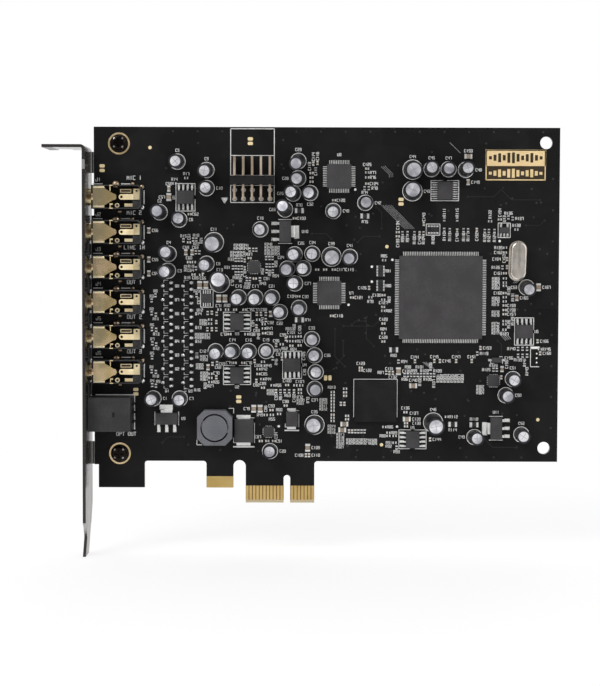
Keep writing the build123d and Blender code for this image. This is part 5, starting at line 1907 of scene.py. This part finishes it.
    def _numbers(self) -> None:
        """A part number beside each part, where there is room."""
        for node, trade in (
            ("amplifier_chips", Trade.CHIP), ("converter_chips", Trade.CHIP), ("regulators", Trade.CHIP),
            ("small_chips", Trade.CHIP), ("capacitor_seals", Trade.CAPACITOR), ("mute_transistors", Trade.TRANSISTOR),
            ("chip_capacitors", Trade.CAPACITOR), ("chip_resistors", Trade.RESISTOR),
        ):
            for island in islands(node):
                x, z = island.middle.x, island.middle.z
                if not any(left < x < right and low < z < high for left, low, right, high in self.quiet):
                    self._number(island, trade)

    def _number(self, island: Island, trade: Trade) -> None:
        """Prints one part number at the nearest free place.

        Args:
            island: The part's solid.
            trade: What the part does.
        """
        self.counts[trade] += 1
        words = f"{trade.value}{self.counts[trade]}"
        length = (self.letter_step * len(words) - self.letter_gap) * self.height
        left, low, right, high = island.plan()
        x, z = (left + right) / 2, (low + high) / 2
        ways = list(self.WAYS)
        turns = [False, True]
        for zone in self.zones:
            if zone.holds(x, z):
                ways.sort(key=lambda way: way != zone.step)
                turns.sort(key=lambda turn: turn != zone.upright)
        for gap in self.GAPS:
            for upright in turns:
                wide, tall = (self.height, length) if upright else (length, self.height)
                for dx, dz in ways:
                    cx = x + dx * ((right - left + wide) / 2 + gap)
                    cz = z + dz * ((high - low + tall) / 2 + gap)
                    area = around(cx, cz, wide / 2 + self.margin, tall / 2 + self.margin)
                    if self._inside(area) and self.crowd.free(area):
                        self.ink.text(words, cx, cz, self.height, upright)
                        self.crowd.add(area)
                        return

    def _inside(self, area: Rect) -> bool:
        """True for a rectangle within the limits of the print."""
        left, low, right, high = self.limits
        return area[0] > left and area[1] > low and area[2] < right and area[3] < high


@dataclass(frozen=True)
class Ribbon:
    """Parallel lines: the points of the first one, the step to the next, their count and width."""

    points: tuple[Spot, ...]
    step: Spot
    count: int
    width: float

    def lay(self, layer: Layer) -> None:
        """Draws the lines.

        Args:
            layer: Takes the lines.
        """
        dx, dz = self.step
        for number in range(self.count):
            layer.path(((x + number * dx, z + number * dz) for x, z in self.points), self.width)


@dataclass
class Traces:
    """Copper under the mask, seen as a faint relief, with lighter lines of painted sheen and small plated holes.

    A row of holes is given by its first hole, the step to the next and their count.
    """

    lift: float = 0.03
    low_share: float = 0.6
    sink: float = 0.01
    width: float = 0.2
    seed: int = 11
    front_runs: int = 220
    back_runs: int = 420
    run_starts: Rect = (-38.0, 16.0, 74.0, 104.0)
    run_limits: Rect = (-39.0, 15.0, 75.0, 105.0)
    run_length: Spot = (2.5, 9.0)
    run_hole: Spot = (0.16, 0.36)
    room: float = 0.5
    hole: Spot = (0.12, 0.28)
    hole_rows: tuple[tuple[Spot, Spot, int], ...] = (
        ((-33.0, 107.4), (7.1, 0.0), 16), ((76.5, 22.0), (0.0, 9.0), 9), ((12.0, 13.4), (8.0, 0.0), 8),
    )
    loose_holes: int = 260
    loose_area: Rect = (-37.0, 14.0, 75.0, 105.0)
    ribbons: tuple[Ribbon, ...] = (
        Ribbon(((27.1, 86.3), (33.9, 79.5)), (0.46, 0.0), 7, 0.08),
        Ribbon(((27.0, 97.4), (29.3, 95.1), (29.3, 94.3)), (0.5, 0.1), 3, 0.1),
        Ribbon(((46.7, 104.3), (49.7, 101.4)), (0.0, 0.0), 1, 0.12),
        Ribbon(((61.0, 49.8), (63.2, 47.4)), (0.5, 0.15), 4, 0.14),
        Ribbon(((65.2, 64.0), (67.0, 65.8)), (0.5, 0.0), 3, 0.13),
        Ribbon(((39.3, 41.0), (41.6, 39.2)), (0.45, 0.0), 3, 0.13),
    )

    def build(self, crowd: Crowd) -> None:
        """Lays the copper on both faces.

        Args:
            crowd: Places that are already in use.
        """
        dice = random.Random(self.seed)
        low = self.lift * self.low_share
        front = Layer("masked_traces", Finish.TRACE, "solder_mask", Side.FRONT, -self.sink, self.lift)
        back = Layer("masked_traces_back", Finish.TRACE, "solder_mask", Side.BACK, -self.sink, self.lift)
        lit = Layer("sheen_lines", Finish.LIT_TRACE, "solder_mask", Side.FRONT, -self.sink, low)
        holes = Layer("tented_holes", Finish.VIA, "solder_mask", Side.FRONT, -self.sink, low)
        for ribbon in self.ribbons:
            ribbon.lay(lit)
        self._stitches(holes, crowd, dice)
        self._runs(front, dice, crowd, self.front_runs)
        self._runs(back, dice, None, self.back_runs)
        for layer in (front, back, lit, holes):
            layer.done()

    def _stitches(self, holes: Layer, crowd: Crowd, dice: random.Random) -> None:
        """Rows of plated holes along the edges, and loose ones between the parts.

        Args:
            holes: Takes the holes.
            crowd: Places that are already in use.
            dice: Draws the loose holes.
        """
        spots = [
            (x + dx * number, z + dz * number)
            for (x, z), (dx, dz), count in self.hole_rows
            for number in range(count)
        ]
        left, low, right, high = self.loose_area
        spots += [(dice.uniform(left, right), dice.uniform(low, high)) for _ in range(self.loose_holes)]
        for x, z in spots:
            if crowd.free(around(x, z, self.room, self.room)):
                holes.ring(x, z, *self.hole, 10)

    def _runs(self, layer: Layer, dice: random.Random, crowd: Crowd | None, count: int) -> None:
        """Short runs with a bend and a hole at each end.

        Args:
            layer: Takes the runs.
            dice: Draws the runs.
            crowd: Places that are already in use, or None where all are free.
            count: Number of runs to draw.
        """
        left, low, right, high = self.run_limits
        for _ in range(count):
            x = dice.uniform(self.run_starts[0], self.run_starts[2])
            z = dice.uniform(self.run_starts[1], self.run_starts[3])
            length = dice.uniform(*self.run_length)
            angle = dice.choice((0.0, 0.5, 1.0, 1.5)) * math.pi
            mid = (x + length * math.cos(angle), z + length * math.sin(angle))
            turn = angle + dice.choice((-0.25, 0.25)) * math.pi
            end = (mid[0] + length / 2 * math.cos(turn), mid[1] + length / 2 * math.sin(turn))
            if not all(left < spot[0] < right and low < spot[1] < high for spot in (mid, end)):
                continue
            if crowd is not None and not all(
                crowd.free(around(*spot, self.room, self.room)) for spot in ((x, z), mid, end)
            ):
                continue
            layer.path(((x, z), mid, end), self.width)
            for spot in ((x, z), end):
                layer.ring(*spot, *self.run_hole, 12)


@dataclass
class SocketMark:
    """The small dark moulding mark on top of the optical socket."""

    x: float = -49.4
    width: float = 0.7
    height: float = 1.4
    depth: float = 0.02
    edge_share: float = 0.4

    def build(self) -> None:
        """Makes the mark on the housing's top."""
        low, high = (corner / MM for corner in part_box("optical_housing"))
        small = bmesh.new()
        seat = Matrix.Translation((self.x * MM, low.y * MM, (low.z + high.z) / 2 * MM))
        size = Matrix.Diagonal((self.width * MM, self.depth * MM, self.height * MM, 1.0))
        bmesh.ops.create_cube(small, size=1.0, matrix=seat @ size)
        bmesh.ops.bevel(
            small, geom=list(small.edges), offset=self.depth * self.edge_share * MM, segments=2, profile=0.5,
            affect="EDGES", material=-1,
        )
        make_piece("socket_mark", small, Finish.BLACK_EPOXY)


@dataclass(frozen=True)
class Lamp:
    """A square soft lamp: its place and side in millimetres and its power in watts."""

    name: str
    spot: Point
    side: float
    power: float

    def hang(self, target: Point) -> None:
        """Adds the lamp to the scene, aimed at a point.

        Args:
            target: The point in millimetres.
        """
        data = bpy.data.lights.new(self.name, "AREA")
        data.size = self.side * MM
        data.energy = self.power
        lamp = bpy.data.objects.new(self.name, data)
        bpy.context.scene.collection.objects.link(lamp)
        lamp.location = Vector(self.spot) * MM
        aim = (Vector(target) - Vector(self.spot)) * MM
        lamp.rotation_euler = aim.to_track_quat("-Z", "Y").to_euler()


@dataclass
class Studio:
    """Floor, light and camera. The floor's own sizes and its fades are in metres, the rest in millimetres."""

    floor_z: float = -14.6
    floor_half: float = 6.0
    floor_tones: tuple[Colour, Colour] = ((0.93, 0.93, 0.93), (0.95, 0.95, 0.95))
    floor_rough: float = 0.9
    near_white: float = 0.72
    shadow_fade: Spot = (0.1, 0.3)
    front_level: float = 0.24
    floor_fade: Spot = (-0.85, -0.1)
    room_fade: Spot = (-0.55, 0.25)
    target: Point = (3.7, 0.0, 46.45)
    distance: float = 557.0
    elevation: float = 3.03
    roll: float = 0.155
    sensor: float = 36.0
    lens: float = 100.9
    lamps: tuple[Lamp, ...] = (
        Lamp("key_lamp", (-420.0, -620.0, 620.0), 420.0, 4.0), Lamp("fill_lamp", (560.0, -560.0, 330.0), 460.0, 1.8),
        Lamp("catch_lamp", (-262.0, -560.0, 52.0), 150.0, 0.1), Lamp("rear_lamp", (120.0, 700.0, 520.0), 500.0, 1.8),
    )

    def build(self) -> None:
        """Sets up the floor, the light and the camera."""
        self._floor()
        self._world()
        for lamp in self.lamps:
            lamp.hang(self.target)
        self._camera()
        bpy.context.scene.view_settings.view_transform = "Standard"

    def _floor(self) -> None:
        """A wide white floor that keeps the card's shadow close to it."""
        mesh = bmesh.new()
        spot = Matrix.Translation((0, 0, self.floor_z * MM))
        bmesh.ops.create_grid(mesh, x_segments=1, y_segments=1, size=self.floor_half, matrix=spot)
        data = bpy.data.meshes.new("floor")
        mesh.to_mesh(data)
        mesh.free()
        floor = bpy.data.objects.new("floor", data)
        bpy.context.scene.collection.objects.link(floor)
        data.materials.append(self._floor_finish())

    def _floor_finish(self) -> bpy.types.Material:
        """A plain pale floor near the card that turns into the white background around it.

        Returns:
            The new material.
        """
        material, shader, body = fresh("pale_floor")
        cloud = Effects.place(shader, Effects.grain(), Scale=3.0)
        shader.link(shader.blend(cloud, *self.floor_tones), body.inputs["Base Color"])
        body.inputs["Roughness"].default_value = self.floor_rough
        body.inputs["Specular IOR Level"].default_value = 0.0
        place = shader.add("ShaderNodeTexCoord")
        span = shader.add("ShaderNodeVectorMath", operation="LENGTH")
        shader.link(place.outputs["Object"], span.inputs[0])
        far = shader.ramp(span.outputs["Value"], self.near_white, 1.0, *self.shadow_fade)
        parts = shader.add("ShaderNodeSeparateXYZ")
        shader.link(place.outputs["Object"], parts.inputs["Vector"])
        depth = shader.ramp(parts.outputs["Y"], self.front_level, 1.0, *self.floor_fade)
        path = shader.add("ShaderNodeLightPath")
        glow = shader.add("ShaderNodeEmission")
        shader.link(shader.math("MAXIMUM", path.outputs["Is Camera Ray"], depth), glow.inputs["Strength"])
        mix = shader.add("ShaderNodeMixShader")
        shader.link(shader.math("MULTIPLY", self._seen(shader), far), mix.inputs["Fac"])
        shader.link(body.outputs["BSDF"], mix.inputs[1])
        shader.link(glow.outputs["Emission"], mix.inputs[2])
        shader.link(mix.outputs["Shader"], material.node_tree.nodes["Material Output"].inputs["Surface"])
        return material

    @staticmethod
    def _seen(shader: Shader) -> bpy.types.NodeSocket:
        """One where a camera, mirror or glass ray looks at the background, and zero elsewhere.

        Args:
            shader: The material's tree.

        Returns:
            The value's socket.
        """
        path = shader.add("ShaderNodeLightPath")
        total = shader.math("MAXIMUM", path.outputs["Is Camera Ray"], path.outputs["Is Glossy Ray"])
        return shader.math("MAXIMUM", total, path.outputs["Is Transmission Ray"])

    def _world(self) -> None:
        """A white background behind the card and a dimmer room in front of it."""
        world = bpy.data.worlds.new("studio")
        world.use_nodes = True
        bpy.context.scene.world = world
        shader = Shader(world.node_tree)
        back = world.node_tree.nodes["Background"]
        parts = shader.split("ShaderNodeTexCoord", "Generated")
        depth = shader.ramp(parts.outputs["Y"], self.front_level, 1.0, *self.room_fade)
        path = shader.add("ShaderNodeLightPath")
        shader.link(shader.math("MAXIMUM", path.outputs["Is Camera Ray"], depth), back.inputs["Strength"])
        back.inputs["Color"].default_value = (1.0, 1.0, 1.0, 1.0)

    def _camera(self) -> None:
        """The camera at the photograph's place."""
        data = bpy.data.cameras.new("camera")
        data.sensor_width = self.sensor
        data.lens = self.lens
        data.clip_start = 0.01
        camera = bpy.data.objects.new("camera", data)
        bpy.context.scene.collection.objects.link(camera)
        rise = math.radians(self.elevation)
        back = Vector((0.0, -math.cos(rise), math.sin(rise)))
        camera.location = (Vector(self.target) + back * self.distance) * MM
        look = (-back).to_track_quat("-Z", "Y").to_matrix().to_4x4()
        camera.rotation_euler = (look @ Matrix.Rotation(math.radians(self.roll), 4, "Z")).to_euler()
        bpy.context.scene.camera = camera


def main() -> None:
    """Builds the dressing of the card in order."""
    logging.basicConfig(level=logging.INFO, format="%(message)s")
    for item in list(bpy.data.objects):
        if item.type in {"LIGHT", "CAMERA"}:
            bpy.data.objects.remove(item)
    Dressing().dress()
    crowd = Crowd()
    CanTops().build()
    SolderWork().build(crowd)
    GoldWork().build(crowd)
    JackTrim().build()
    Print(crowd).build()
    Traces().build(crowd)
    SocketMark().build()
    Studio().build()


if __name__ == "__main__":
    main()
